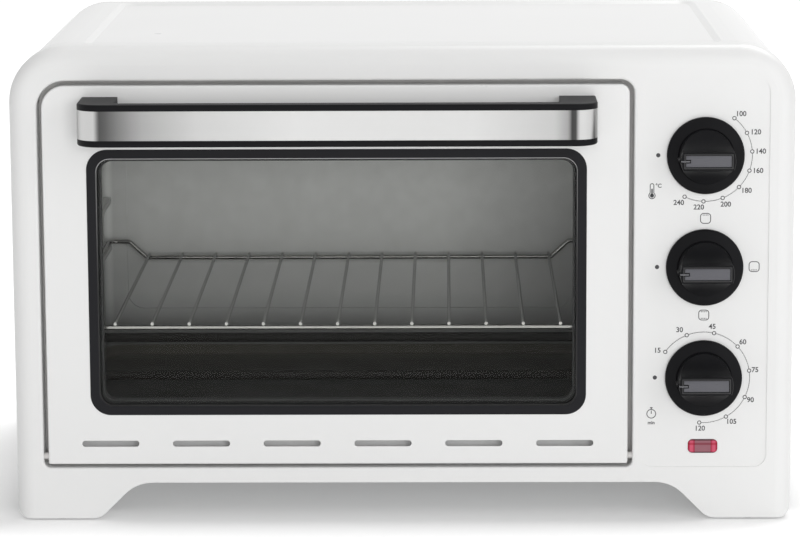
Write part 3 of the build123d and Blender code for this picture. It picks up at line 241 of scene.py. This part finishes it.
def empty_tree(owner):
    """The nodes and links of a material or world, cleared."""
    owner.use_nodes = True
    owner.node_tree.nodes.clear()
    return owner.node_tree.nodes, owner.node_tree.links


def pane_finish():
    """Clear glass: what is behind shows, with a reflection that grows towards the edges of view."""
    made = bpy.data.materials.new("window_glass")
    nodes, links = empty_tree(made)
    out = nodes.new("ShaderNodeOutputMaterial")
    mix = nodes.new("ShaderNodeMixShader")
    clear = nodes.new("ShaderNodeBsdfTransparent")
    shine = nodes.new("ShaderNodeBsdfGlossy")
    shine.inputs["Roughness"].default_value = 0.02
    edge = nodes.new("ShaderNodeFresnel")
    edge.inputs["IOR"].default_value = 1.16
    place = nodes.new("ShaderNodeTexCoord").outputs["Object"]
    tone = mottle(nodes, links, place, 14.0, (0.935, 0.94, 0.935), (0.965, 0.97, 0.965))[1]
    links.new(tone, clear.inputs["Color"])
    links.new(edge.outputs["Fac"], mix.inputs["Fac"])
    links.new(clear.outputs["BSDF"], mix.inputs[1])
    links.new(shine.outputs["BSDF"], mix.inputs[2])
    links.new(mix.outputs["Shader"], out.inputs["Surface"])
    return made


def coat(material, *names):
    """Give CAD nodes their finish."""
    for name in names:
        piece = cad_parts[name]
        piece.data.materials.clear()
        piece.data.materials.append(material)


def seen_ray(nodes, links):
    """1 for a ray that shows what it meets, directly or in metal or glass, and 0 for one that only lights."""
    path = nodes.new("ShaderNodeLightPath")
    seen = path.outputs["Is Camera Ray"]
    for ray in ("Is Glossy Ray", "Is Transmission Ray"):
        either = nodes.new("ShaderNodeMath")
        either.operation = "MAXIMUM"
        links.new(seen, either.inputs[0])
        links.new(path.outputs[ray], either.inputs[1])
        seen = either.outputs["Value"]
    return seen


# Modelling helpers

def clear_selection():
    if bpy.context.mode != "OBJECT":
        bpy.ops.object.mode_set(mode="OBJECT")
    bpy.ops.object.select_all(action="DESELECT")


def select_only(piece):
    clear_selection()
    piece.select_set(True)
    bpy.context.view_layer.objects.active = piece


def apply_place(piece):
    """Put a piece's place, turn and scale into its mesh."""
    select_only(piece)
    bpy.ops.object.transform_apply(location=True, rotation=True, scale=True)


def edit_all():
    """Open the piece just added for editing, all selected."""
    bpy.ops.object.mode_set(mode="EDIT")
    bpy.ops.mesh.select_all(action="SELECT")


def face_outwards():
    """Select all, turn the faces outwards and close the piece."""
    bpy.ops.mesh.select_all(action="SELECT")
    bpy.ops.mesh.normals_make_consistent(inside=False)
    bpy.ops.object.mode_set(mode="OBJECT")


def done(piece, body, material, smooth=30):
    """Put a piece's place into its mesh, and hand it to its body."""
    apply_place(piece)
    bpy.ops.object.shade_smooth_by_angle(angle=math.radians(smooth))
    piece.data.materials.clear()
    piece.data.materials.append(material)
    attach(piece, body)
    return piece


def turned(name, steps):
    """A round piece grown along +Z from its first radius through the radii and heights given."""
    clear_selection()
    radius, height = steps[0]
    bpy.ops.mesh.primitive_circle_add(
        vertices=128, radius=radius, fill_type="NGON", location=(0, 0, height))
    piece = bpy.context.object
    piece.name = name
    edit_all()
    for next_radius, next_height in steps[1:]:
        bpy.ops.mesh.extrude_region_move(TRANSFORM_OT_translate={"value": (0, 0, next_height - height)})
        ratio = next_radius / radius
        bpy.ops.transform.resize(value=(ratio, ratio, 1), center_override=(0, 0, next_height))
        radius, height = next_radius, next_height
    face_outwards()
    return piece


def combine(piece, other, operation):
    """Cut or join one solid with another, which is used up."""
    change = piece.modifiers.new("combine", "BOOLEAN")
    change.operation = operation
    change.solver = "EXACT"
    change.object = other
    select_only(piece)
    bpy.ops.object.modifier_apply(modifier=change.name)
    bpy.data.objects.remove(other, do_unlink=True)


def block(name, low, high, edge=0.0, segments=2):
    """A box between two corners with rounded edges."""
    clear_selection()
    low, high = Vector(low), Vector(high)
    bpy.ops.mesh.primitive_cube_add(size=1, location=(low + high) / 2, scale=high - low)
    piece = bpy.context.object
    piece.name = name
    edit_all()
    if edge:
        bpy.ops.mesh.bevel(offset=edge, segments=segments, affect="EDGES")
    apply_place(piece)
    return piece


def face_front(piece, x, y, z):
    """Turn a piece built along +Z so that it looks out of the front at x, z."""
    piece.matrix_world = Matrix.Translation((x, y, z)) @ Matrix.Rotation(math.pi / 2, 4, "X")


def thicken(piece, depth):
    """Give a flat print its thickness."""
    select_only(piece)
    change = piece.modifiers.new("thickness", "SOLIDIFY")
    change.thickness = depth
    change.offset = 1
    bpy.ops.object.modifier_apply(modifier=change.name)


def band(radius, width, start_angle, stop_angle, steps):
    """A flat printed arc in the XY plane round the origin, angles from +X, anticlockwise."""
    clear_selection()
    bpy.ops.mesh.primitive_plane_add(size=1)
    piece = bpy.context.object
    edit_all()
    bpy.ops.mesh.delete(type="ONLY_FACE")
    bpy.ops.mesh.select_all(action="DESELECT")
    bpy.ops.object.mode_set(mode="OBJECT")
    for i, vertex in enumerate(piece.data.vertices):
        vertex.select = i > 1
    bpy.ops.object.mode_set(mode="EDIT")
    bpy.ops.mesh.delete(type="VERT")
    bpy.ops.object.mode_set(mode="OBJECT")
    for i, vertex in enumerate(piece.data.vertices):
        reach = radius + (i - 0.5) * width
        vertex.co = (reach * math.cos(start_angle), reach * math.sin(start_angle), 0)
    edit_all()
    bpy.ops.mesh.spin(steps=steps, angle=start_angle - stop_angle, center=(0, 0, 0), axis=(0, 0, 1))
    if stop_angle - start_angle == FULL_TURN:
        bpy.ops.mesh.select_all(action="SELECT")
        bpy.ops.mesh.remove_doubles(threshold=1e-6)
    face_outwards()
    return piece


def disc(radius, x, z):
    """A flat printed dot in the XY plane."""
    clear_selection()
    bpy.ops.mesh.primitive_circle_add(vertices=32, radius=radius, fill_type="NGON", location=(x, z, 0))
    return bpy.context.object


def bar(x0, z0, x1, z1):
    """A flat printed oblong in the XY plane."""
    clear_selection()
    bpy.ops.mesh.primitive_plane_add(size=1, location=((x0 + x1) / 2, (z0 + z1) / 2, 0))
    piece = bpy.context.object
    piece.scale = (abs(x1 - x0), abs(z1 - z0), 1)
    apply_place(piece)
    return piece


def outline(x0, z0, x1, z1, corner, width, segments=6):
    """A flat rounded outline in the XY plane."""
    piece = bar(x0, z0, x1, z1)
    edit_all()
    bpy.ops.mesh.bevel(offset=corner, segments=segments, affect="VERTICES")
    bpy.ops.mesh.select_all(action="SELECT")
    bpy.ops.mesh.inset(thickness=width)
    bpy.ops.mesh.delete(type="FACE")
    bpy.ops.object.mode_set(mode="OBJECT")
    return piece


def words(text, size, x, z):
    """Flat figures centred at x, z in the XY plane."""
    clear_selection()
    bpy.ops.object.text_add(location=(0, 0, 0))
    letters = bpy.context.object.data
    letters.body = text
    letters.size = size
    letters.align_x = "CENTER"
    letters.align_y = "CENTER"
    letters.resolution_u = 4
    letters.offset = 0.09 * MM
    bpy.ops.object.convert(target="MESH")
    piece = bpy.context.object
    piece.location = (x, z, 0)
    return piece


def print_on_front(name, parts, x, z):
    """Join printed parts, thicken them and set them on the front round a knob's axis."""
    for part in parts:
        apply_place(part)
    clear_selection()
    for part in parts:
        part.select_set(True)
    piece = parts[0]
    bpy.context.view_layer.objects.active = piece
    bpy.ops.object.join()
    piece.name = name
    thicken(piece, sizes().print_height)
    face_front(piece, x, FRONT_Y + sizes().recess_depth, z)
    return done(piece, "chassis", bpy.data.materials["ink"], smooth=20)


def knob_axis(name):
    """Where a knob's axis meets the front."""
    low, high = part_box(f"knob_{name}")
    return (low.x + high.x) / 2, (low.z + high.z) / 2


# Stage

def add_floor():
    clear_selection()
    bpy.ops.mesh.primitive_circle_add(vertices=96, radius=FLOOR_RADIUS, fill_type="NGON", location=(0, 0, 0))
    floor = bpy.context.object
    floor.name = "floor"
    material = bpy.data.materials.new("floor_paper")
    nodes, links = empty_tree(material)
    out = nodes.new("ShaderNodeOutputMaterial")
    add = nodes.new("ShaderNodeAddShader")
    paper = nodes.new("ShaderNodeBsdfDiffuse")
    glow = nodes.new("ShaderNodeEmission")
    level = nodes.new("ShaderNodeMath")
    level.operation = "MULTIPLY"
    place = nodes.new("ShaderNodeTexCoord").outputs["Object"]
    spread = nodes.new("ShaderNodeMapping")
    spread.inputs["Scale"].default_value = (1 / SHADOW_HALF_X, 1 / SHADOW_HALF_Y, 0)
    away = nodes.new("ShaderNodeVectorMath")
    away.operation = "ABSOLUTE"
    split = nodes.new("ShaderNodeSeparateXYZ")
    farther = nodes.new("ShaderNodeMath")
    farther.operation = "MAXIMUM"
    rise = nodes.new("ShaderNodeMapRange")
    rise.inputs["From Min"].default_value, rise.inputs["From Max"].default_value = SHADOW_FADE
    rise.inputs["To Min"].default_value, rise.inputs["To Max"].default_value = FLOOR_GLOW
    links.new(place, spread.inputs["Vector"])
    links.new(spread.outputs["Vector"], away.inputs[0])
    links.new(away.outputs["Vector"], split.inputs["Vector"])
    links.new(split.outputs["X"], farther.inputs[0])
    links.new(split.outputs["Y"], farther.inputs[1])
    links.new(farther.outputs["Value"], rise.inputs["Value"])
    links.new(seen_ray(nodes, links), level.inputs[0])
    links.new(rise.outputs["Result"], level.inputs[1])
    links.new(level.outputs["Value"], glow.inputs["Strength"])
    tone = mottle(nodes, links, place, 3.0, (0.86, 0.86, 0.86), (0.90, 0.90, 0.90))[1]
    links.new(tone, paper.inputs["Color"])
    links.new(paper.outputs["BSDF"], add.inputs[0])
    links.new(glow.outputs["Emission"], add.inputs[1])
    links.new(add.outputs["Shader"], out.inputs["Surface"])
    floor.data.materials.append(material)


def add_world(scene):
    """A room that lights the oven evenly, and shows as plain white."""
    world = bpy.data.worlds.new("studio")
    scene.world = world
    nodes, links = empty_tree(world)
    out = nodes.new("ShaderNodeOutputWorld")
    mix = nodes.new("ShaderNodeMixShader")
    links.new(seen_ray(nodes, links), mix.inputs["Fac"])
    for socket, strength in ((1, ROOM_LIGHT), (2, 1.0)):
        room = nodes.new("ShaderNodeBackground")
        room.inputs["Color"].default_value = (1, 1, 1, 1)
        room.inputs["Strength"].default_value = strength
        links.new(room.outputs["Background"], mix.inputs[socket])
    links.new(mix.outputs["Shader"], out.inputs["Surface"])


def add_lights():
    for name, place, size, power in LIGHTS:
        clear_selection()
        bpy.ops.object.light_add(type="AREA", location=place)
        lamp = bpy.context.object
        lamp.name = name
        lamp.data.size = size
        lamp.data.energy = power
        lamp.visible_glossy = name != "key"
        lamp.rotation_euler = (LIGHTS_AIM - Vector(place)).to_track_quat("-Z", "Y").to_euler()


def add_camera(scene):
    pitch, yaw, roll = (math.radians(v) for v in (CAMERA_PITCH, CAMERA_YAW, CAMERA_ROLL))
    bpy.ops.object.camera_add()
    camera = bpy.context.object
    camera.name = "camera"
    camera.data.sensor_width = SENSOR_MM
    camera.data.sensor_fit = "HORIZONTAL"
    camera.data.lens = FOCAL_PX * SENSOR_MM / FRAME_WIDTH_PX
    camera.data.clip_end = 60
    turn = Matrix.Rotation(-yaw, 4, "Z") @ Matrix.Rotation(math.pi / 2 - pitch, 4, "X")
    camera.matrix_world = Matrix.Translation(CAMERA_PLACE) @ turn @ Matrix.Rotation(roll, 4, "Z")
    scene.camera = camera


class OVEN_OT_stage(bpy.types.Operator):
    """Floor, room light, lamps and the camera"""

    bl_idname = "oven.stage"
    bl_label = "Stage"

    def execute(self, context):
        context.scene.view_settings.view_transform = "Standard"
        add_floor()
        add_world(context.scene)
        add_lights()
        add_camera(context.scene)
        return {"FINISHED"}


# Pieces

class OVEN_OT_body(bpy.types.Operator):
    """Finish the front, the sheet wrap, the door skin, the back, the base and the feet"""

    bl_idname = "oven.body"
    bl_label = "Body"

    def execute(self, context):
        white = colours().white
        coat(finish("white_moulding", white, 0.36, vary=0.008, grain=0.05, grain_scale=700), "front_frame")
        coat(finish("white_enamel", white, 0.30, vary=0.01, grain=0.08, grain_scale=260, coat_weight=0.2),
             "outer_shell", "door_panel")
        coat(finish("mouth_sheet", (0.66, 0.65, 0.64), 0.5, vary=0.12, vary_scale=60, grain=0.05,
                    specular=0.2), "mouth_frame")
        coat(finish("zinc_sheet", (0.42, 0.43, 0.43), 0.42, metallic=1.0, vary=0.12, vary_scale=60,
                    grain=0.05, rough_vary=0.1),
             "back_panel", "base_plate", "heat_shield", "control_bracket", "door_arm_left", "door_arm_right")
        coat(finish("foot_moulding", (0.02, 0.02, 0.02), 0.5, grain=0.2),
             "rear_foot_left", "rear_foot_right", "rear_spacer_left", "rear_spacer_right")
        coat(finish("pad_rubber", (0.03, 0.03, 0.03), 0.8, grain=0.3),
             "foot_pad_front_left", "foot_pad_front_right", "foot_pad_rear_left", "foot_pad_rear_right",
             "cable_gland")
        return {"FINISHED"}


class OVEN_OT_inside(bpy.types.Operator):
    """Finish the cavity, the rods, the rack and what is hidden in the control bay"""

    bl_idname = "oven.inside"
    bl_label = "Inside"

    def execute(self, context):
        # Painted shade: the lining gets darker towards the bottom, where less light falls.
        painted_shade_low = ("Z", ((47, 0.17), (56, 0.21), (70, 0.35), (91, 0.58), (112, 0.66), (132, 0.78), (166, 1.0),
                      (259, 1.0)))
        # Painted highlight along the rounded back-left corner, and painted shade towards both side walls.
        painted_corner_highlight = ("X", ((-209.2, 0.75), (-207, 1.0), (-204.5, 1.0), (-203, 0.80), (-170, 0.86), (-60, 0.98),
                      (20, 1.0), (100, 0.97), (128.8, 0.92)))
        coat(finish("cavity_lining", colours().cavity, 0.55, vary=0.10, vary_scale=90, grain=0.25,
                    grain_scale=500, rough_vary=0.12, specular=0.3, bands=(painted_shade_low, painted_corner_highlight)),
             "cavity_left_wall", "cavity_right_wall", "cavity_roof", "cavity_back")
        # Painted shade: the floor is near-black, darkest at the front and lighter towards the rear upstand.
        depth = ("Y", ((-120, 0.05), (-60, 0.09), (60, 0.20), (125, 0.5), (149, 1.0)))
        coat(finish("floor_painted_shade", (0.105, 0.098, 0.082), 0.38, vary=0.25, vary_scale=35, grain=0.15,
                    grain_scale=500, rough_vary=0.12, specular=0.04, bands=(depth,)), "cavity_floor")
        coat(finish("rod_sheath", (0.012, 0.011, 0.010), 0.5, vary=0.3, grain=0.1, specular=0.2),
             "heating_rod_lower_front", "heating_rod_lower_rear",
             "heating_rod_upper_front", "heating_rod_upper_rear")
        # Painted light: the wire is bright over the front and rear rails (painted highlights) and dark over
        # the cross wires between them (painted shade).
        painted_wire_light = ("Y", ((-120, 0.52), (-112, 0.52), (-107, 0.24), (60, 0.16), (134, 0.16), (137, 0.55),
                         (142, 0.55)))
        coat(finish("rack_wire", (0.80, 0.79, 0.76), 0.20, metallic=1.0, vary=0.06, grain=0.03,
                    bands=(painted_wire_light,)), "wire_rack")
        coat(finish("bright_wire", (0.52, 0.51, 0.50), 0.34, metallic=1.0, vary=0.06, grain=0.03),
             "hinge_pin_left", "hinge_pin_right", "timer_bell")
        coat(finish("spring_steel", (0.45, 0.45, 0.45), 0.35, metallic=1.0, vary=0.1, grain=0.05),
             "door_spring_left", "door_spring_right", "shaft_temperature", "shaft_function",
             "shaft_timer", "handle_screws", "back_screws", "base_screws")
        coat(finish("ceramic", (0.72, 0.69, 0.62), 0.8, vary=0.08, grain=0.3),
             "rod_insulators_left", "rod_insulators_right")
        coat(finish("switch_moulding", (0.35, 0.27, 0.18), 0.6, vary=0.12, grain=0.2),
             "thermostat", "function_selector", "timer", "pilot_lamp", "terminal_block")
        return {"FINISHED"}


class OVEN_OT_door(bpy.types.Operator):
    """Finish the window frame, the glass and the handle, and line the window's edge"""

    bl_idname = "oven.door"
    bl_label = "Door"

    def execute(self, context):
        coat(finish("black_moulding", colours().black, 0.42, vary=0.15, grain=0.10, grain_scale=1400,
                    specular=0.08), "handle_body")
        low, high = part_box("handle_strip")
        left, right = low.x / MM, high.x / MM
        # Painted reflection: bright and dark bands along the steel strip, darkest a little in from each end.
        painted_strip_reflection = ("X", (
            (left, 0.60), (left + 4, 0.90), (left + 11, 0.85), (left + 14, 0.12), (left + 18, 0.16),
            (left + 40, 0.55), (left + 72, 0.80), (left + 130, 0.93), (right - 75, 0.88),
            (right - 26, 0.70), (right - 17.5, 0.45), (right - 16, 0.08), (right - 13, 0.10),
            (right - 11.5, 0.80), (right - 4, 0.90), (right, 0.60)))
        coat(finish("brushed_strip", (0.60, 0.60, 0.595), 0.30, metallic=1.0, vary=0.08, vary_scale=40,
                    grain=0.25, grain_scale=1500, stretch=(0.02, 1, 1), rough_vary=0.08, bands=(painted_strip_reflection,)),
             "handle_strip")
        # White behind the vent slots; above them the sheet is near-black as painted shade inside the door.
        painted_shade_above_slots = ("Z", ((30, 1.0), (58, 1.0), (61, 0.06), (270, 0.06)))
        coat(finish("dull_sheet", (0.93, 0.93, 0.93), 0.5, vary=0.1, grain=0.1, specular=0.2,
                    bands=(painted_shade_above_slots,)), "door_inner_panel")
        coat(finish("window_black", (0.015, 0.015, 0.017), 0.35, vary=0.1, grain=0.06, specular=0.1),
             "window_trim")
        coat(pane_finish(), "glass_pane")

        trim_low, trim_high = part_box("window_trim")
        pane_low, pane_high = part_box("glass_pane")
        low, high = (trim_low + pane_low) / 2, (trim_high + pane_high) / 2
        bead = outline(low.x + TRIM_BAND, low.z + TRIM_BAND, high.x - TRIM_BAND, high.z - TRIM_BAND,
                       EDGE_CORNER, EDGE_WIDTH, 12)
        bead.name = "window_edge_bead"
        thicken(bead, EDGE_DEPTH)
        face_front(bead, 0, trim_high.y, 0)
        # Painted highlight: the bead is bright only along the top of the window, near-black below it as
        # painted shade.
        shine = ("Z", ((40, 0.02), (150, 0.03), (215, 0.25), (233, 1.0), (260, 1.0)))
        edge = finish("window_edge_painted_highlight", (0.88, 0.88, 0.88), 0.3, vary=0.1, grain=0.05, bands=(shine,))
        done(bead, "door", edge)
        return {"FINISHED"}


def knob_solid(name, flange, reach):
    """A flange with a raised middle that is scooped out on both sides of the grip."""
    boss = sizes().knob_boss_radius
    half = sizes().knob_bar_half
    knob = turned(name, (
        (flange - 0.4 * MM, 0), (flange, 0.4 * MM), (flange, 2.0 * MM), (flange - 0.35 * MM, 2.7 * MM),
        (flange - 1.2 * MM, 3.2 * MM), (boss + 0.8 * MM, FLANGE_RISE - 0.35 * MM),
        (boss + 0.25 * MM, FLANGE_RISE - 0.6 * MM), (boss - 0.5 * MM, FLANGE_RISE - 0.6 * MM)))
    grip = turned("grip", (
        (boss, 1 * MM), (boss, reach - 0.8 * MM), (boss - 0.25 * MM, reach - 0.25 * MM),
        (boss - 0.8 * MM, reach)))
    scoop_axis = FLANGE_RISE + SCOOP_RADIUS
    for side in (-1, 1):
        clear_selection()
        bpy.ops.mesh.primitive_cylinder_add(
            vertices=160, radius=SCOOP_RADIUS, depth=4 * boss,
            location=(0, side * (half + SCOOP_RADIUS), scoop_axis), rotation=(0, math.pi / 2, 0))
        combine(grip, bpy.context.object, "DIFFERENCE")
        near, far = sorted((side * half, side * 3 * boss))
        over = block("over", (-2 * boss, near, scoop_axis), (2 * boss, far, reach + 5 * MM))
        combine(grip, over, "DIFFERENCE")
    combine(knob, grip, "UNION")
    well = block("well", (-WELL_END, -WELL_HALF, reach - 0.9 * MM), (14.2 * MM, WELL_HALF, reach + MM))
    combine(knob, well, "DIFFERENCE")
    nib = block("nib", (-1.2 * MM, -1.2 * MM, -6 * MM), (1.2 * MM, 1.2 * MM, 6 * MM), 0.2 * MM)
    tip = Matrix.Translation((-boss + 0.1 * MM, 0, reach - 9 * MM))
    nib.matrix_world = tip @ Matrix.Rotation(math.pi / 4, 4, "Z")
    combine(knob, nib, "UNION")
    return knob


class OVEN_OT_knobs(bpy.types.Operator):
    """Model the three knobs with their inlaid grips and pointers"""

    bl_idname = "oven.knobs"
    bl_label = "Knobs"

    def execute(self, context):
        black = bpy.data.materials["black_moulding"]
        grey = finish("knob_inlay", (0.088, 0.088, 0.100), 0.38, vary=0.06, grain=0.05)
        light = finish("pointer_grey", (0.13, 0.13, 0.14), 0.4, vary=0.06, grain=0.05)
        satin = finish("satin_black", colours().black, 0.24, vary=0.1, grain=0.04, specular=0.5)
        for name in KNOB_NAMES:
            x, z = knob_axis(name)
            low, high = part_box(f"knob_{name}")
            reach = high.y - low.y

            knob = knob_solid(f"knob_{name}_dressed", (high.z - low.z) / 2, reach)
            rim = block(f"knob_{name}_rim", (-RIM_END, -RIM_HALF, reach - 1.6 * MM),
                        (RIM_END, RIM_HALF, reach + 0.15 * MM), 0.7 * MM, 3)
            well = block("well", (-WELL_END, -WELL_HALF, reach - 2 * MM), (WELL_END, WELL_HALF, reach + MM))
            combine(rim, well, "DIFFERENCE")
            inlay = block(f"knob_{name}_inlay", (-INLAY_END, -INLAY_HALF, reach - 0.9 * MM),
                          (INLAY_END, INLAY_HALF, reach - 0.25 * MM), 0.25 * MM)
            notch = block("notch", (-14 * MM, -NOTCH_HALF, reach - 2 * MM),
                          (NOTCH_STOP, NOTCH_HALF, reach + MM))
            combine(inlay, notch, "DIFFERENCE")
            pointer = block(f"knob_{name}_pointer", (POINTER_START, -POINTER_HALF, reach - 1.2 * MM),
                            (POINTER_STOP, POINTER_HALF, reach + 0.3 * MM), 0.15 * MM)

            for piece, material, smooth in ((knob, black, 35), (rim, satin, 35), (inlay, grey, 30),
                                            (pointer, light, 30)):
                face_front(piece, x, high.y, z)
                done(piece, f"{name}_control", material, smooth)
            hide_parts(f"knob_{name}")
        return {"FINISHED"}


def open_marks(angles, radius):
    """Open round marks on an arc, joined by thin lines between them."""
    mark, line = sizes().mark_radius, sizes().line_width
    parts = []
    clearance = (mark + line / 2) / radius
    for i, angle in enumerate(angles):
        ring = band(mark, line, 0, FULL_TURN, 24)
        ring.location = (radius * math.cos(angle), radius * math.sin(angle), 0)
        parts.append(ring)
        if i:
            parts.append(band(radius, line * 0.7, angles[i - 1] - clearance, angle + clearance, 10))
    return parts


class OVEN_OT_scales(bpy.types.Operator):
    """Print the scales and figures round the temperature and timer knobs, and the knobs' dots"""

    bl_idname = "oven.scales"
    bl_label = "Scales"

    def execute(self, context):
        finish("ink", colours().ink, 0.6, vary=0.1)
        for name, first, step, labels in SCALES:
            angles = [math.radians(first + i * step) for i in range(len(labels))]
            parts = open_marks(angles, sizes().scale_radius)
            for text, across, up in labels:
                parts.append(words(text, sizes().figure_height, across * MM, up * MM))
            print_on_front(f"{name}_scale", parts, *knob_axis(name))
        for name, away in OFF_DOTS:
            print_on_front(f"{name}_off_dot", [disc(OFF_DOT_RADIUS, -away * MM, 0)], *knob_axis(name))
        return {"FINISHED"}


def heat_sign(across, up, rows):
    """A rounded oven outline with a dashed line for each heated side."""
    half, line = HEAT_SIGN_SIZE / 2, sizes().line_width
    parts = [outline(across - half, up - half, across + half, up + half, HEAT_SIGN_CORNER, line)]
    for row in rows:
        level = up + row * (half - 1.25 * MM)
        for i in (-1.5, -0.5, 0.5, 1.5):
            middle = across + i * DASH_STEP
            parts.append(bar(middle - DASH_HALF, level - line / 2, middle + DASH_HALF, level + line / 2))
    return parts


def thermometer(across, up):
    """A tube with a round top, a bulb and its filling."""
    line = sizes().line_width
    cap = band(TUBE_RADIUS, line, 0, math.pi, 16)
    cap.location = (across, up + TUBE_TOP, 0)
    parts = [cap]
    for side in (-1, 1):
        wall = across + side * TUBE_RADIUS
        parts.append(bar(wall - line / 2, up + 1.4 * MM, wall + line / 2, up + TUBE_TOP))
    bulb = band(1.9 * MM, line, math.radians(-235), math.radians(55), 24)
    bulb.location = (across, up, 0)
    return parts + [
        bulb,
        disc(1.25 * MM, across, up),
        bar(across - 0.45 * MM, up, across + 0.45 * MM, up + 4.2 * MM),
        words("°C", 3.4 * MM, across + 3.9 * MM, up + 5.9 * MM),
    ]


def stopwatch(across, up):
    """A round face with a crown, a stem and a hand."""
    line = sizes().line_width
    face = band(2.7 * MM, line, 0, FULL_TURN, 32)
    face.location = (across, up, 0)
    return [
        face,
        bar(across - 0.8 * MM, up + 3.5 * MM, across + 0.8 * MM, up + 4.1 * MM),
        bar(across - 0.3 * MM, up + 2.8 * MM, across + 0.3 * MM, up + 3.6 * MM),
        bar(across - line / 2, up, across + line / 2, up + 2.0 * MM),
        words("min", 2.9 * MM, across, up - 5.6 * MM),
    ]


class OVEN_OT_signs(bpy.types.Operator):
    """Print the heat signs, the thermometer and the stopwatch"""

    bl_idname = "oven.signs"
    bl_label = "Signs"

    def execute(self, context):
        for name, across, up, rows in HEAT_SIGNS:
            print_on_front(f"{name}_sign", heat_sign(across * MM, up * MM, rows), *knob_axis("function"))
        print_on_front("thermometer_sign", thermometer(*THERMOMETER), *knob_axis("temperature"))
        print_on_front("stopwatch_sign", stopwatch(*STOPWATCH), *knob_axis("timer"))
        return {"FINISHED"}


class OVEN_OT_lamp(bpy.types.Operator):
    """Finish the pilot lamp's red lens, with painted reflection, shade and a highlight on it"""

    bl_idname = "oven.lamp"
    bl_label = "Pilot lamp"

    def execute(self, context):
        low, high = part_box("pilot_lens")
        x, z = (low.x + high.x) / 2 / MM, (low.z + high.z) / 2 / MM
        # The lens is red; the pink and greyish bands across it are painted reflection, its darker top and
        # bottom painted shade, and the glint band a painted highlight.
        red, painted_pink_reflection, grey, painted_glint = (0.40, 0.012, 0.05), (0.66, 0.10, 0.17), (0.32, 0.13, 0.16), (0.8, 0.45, 0.5)
        across = ("X", tuple((x + at, shade) for at, shade in (
            (-9.5, red), (-8.4, red), (-7.6, painted_pink_reflection), (-6.2, painted_pink_reflection), (-5.0, red), (-4.7, grey), (4.7, grey),
            (5.0, red), (6.2, painted_pink_reflection), (7.6, painted_pink_reflection), (8.4, red), (9.5, red))))
        up = ("Z", tuple((z + at, shade) for at, shade in (
            (-4.6, 0.3), (-3.7, 0.35), (-3.2, 1.0), (0.6, 1.0), (0.9, painted_glint), (2.0, painted_glint), (2.3, 1.0),
            (3.2, 1.0), (3.7, 0.35), (4.6, 0.3))))
        coat(finish("lens_red", (0.95, 0.95, 0.95), 0.12, vary=0.10, vary_scale=160, specular=0.2,
                    grain=0.05, grain_scale=300, bands=(across, up)), "pilot_lens")
        return {"FINISHED"}


class OVEN_PT_pieces(bpy.types.Panel):
    """Lists the pieces, sizes and colours"""

    bl_label = "Mini Oven"
    bl_space_type = "VIEW_3D"
    bl_region_type = "UI"
    bl_category = "Mini Oven"

    def draw(self, context):
        for operator in OPERATORS:
            self.layout.operator(operator.bl_idname)
        for group in (context.scene.oven_sizes, context.scene.oven_colours):
            for key in group.__annotations__:
                self.layout.prop(group, key)


OPERATORS = (OVEN_OT_stage, OVEN_OT_body, OVEN_OT_inside, OVEN_OT_door, OVEN_OT_knobs, OVEN_OT_scales,
             OVEN_OT_signs, OVEN_OT_lamp)
CLASSES = (OvenSizes, OvenColours, *OPERATORS, OVEN_PT_pieces)


def register():
    for item in CLASSES:
        bpy.utils.register_class(item)
    bpy.types.Scene.oven_sizes = bpy.props.PointerProperty(type=OvenSizes)
    bpy.types.Scene.oven_colours = bpy.props.PointerProperty(type=OvenColours)


def unregister():
    del bpy.types.Scene.oven_colours
    del bpy.types.Scene.oven_sizes
    for item in reversed(CLASSES):
        bpy.utils.unregister_class(item)


def main():
    register()
    bpy.ops.oven.stage()
    bpy.ops.oven.body()
    bpy.ops.oven.inside()
    bpy.ops.oven.door()
    bpy.ops.oven.knobs()
    bpy.ops.oven.scales()
    bpy.ops.oven.signs()
    bpy.ops.oven.lamp()


if __name__ == "__main__":
    main()
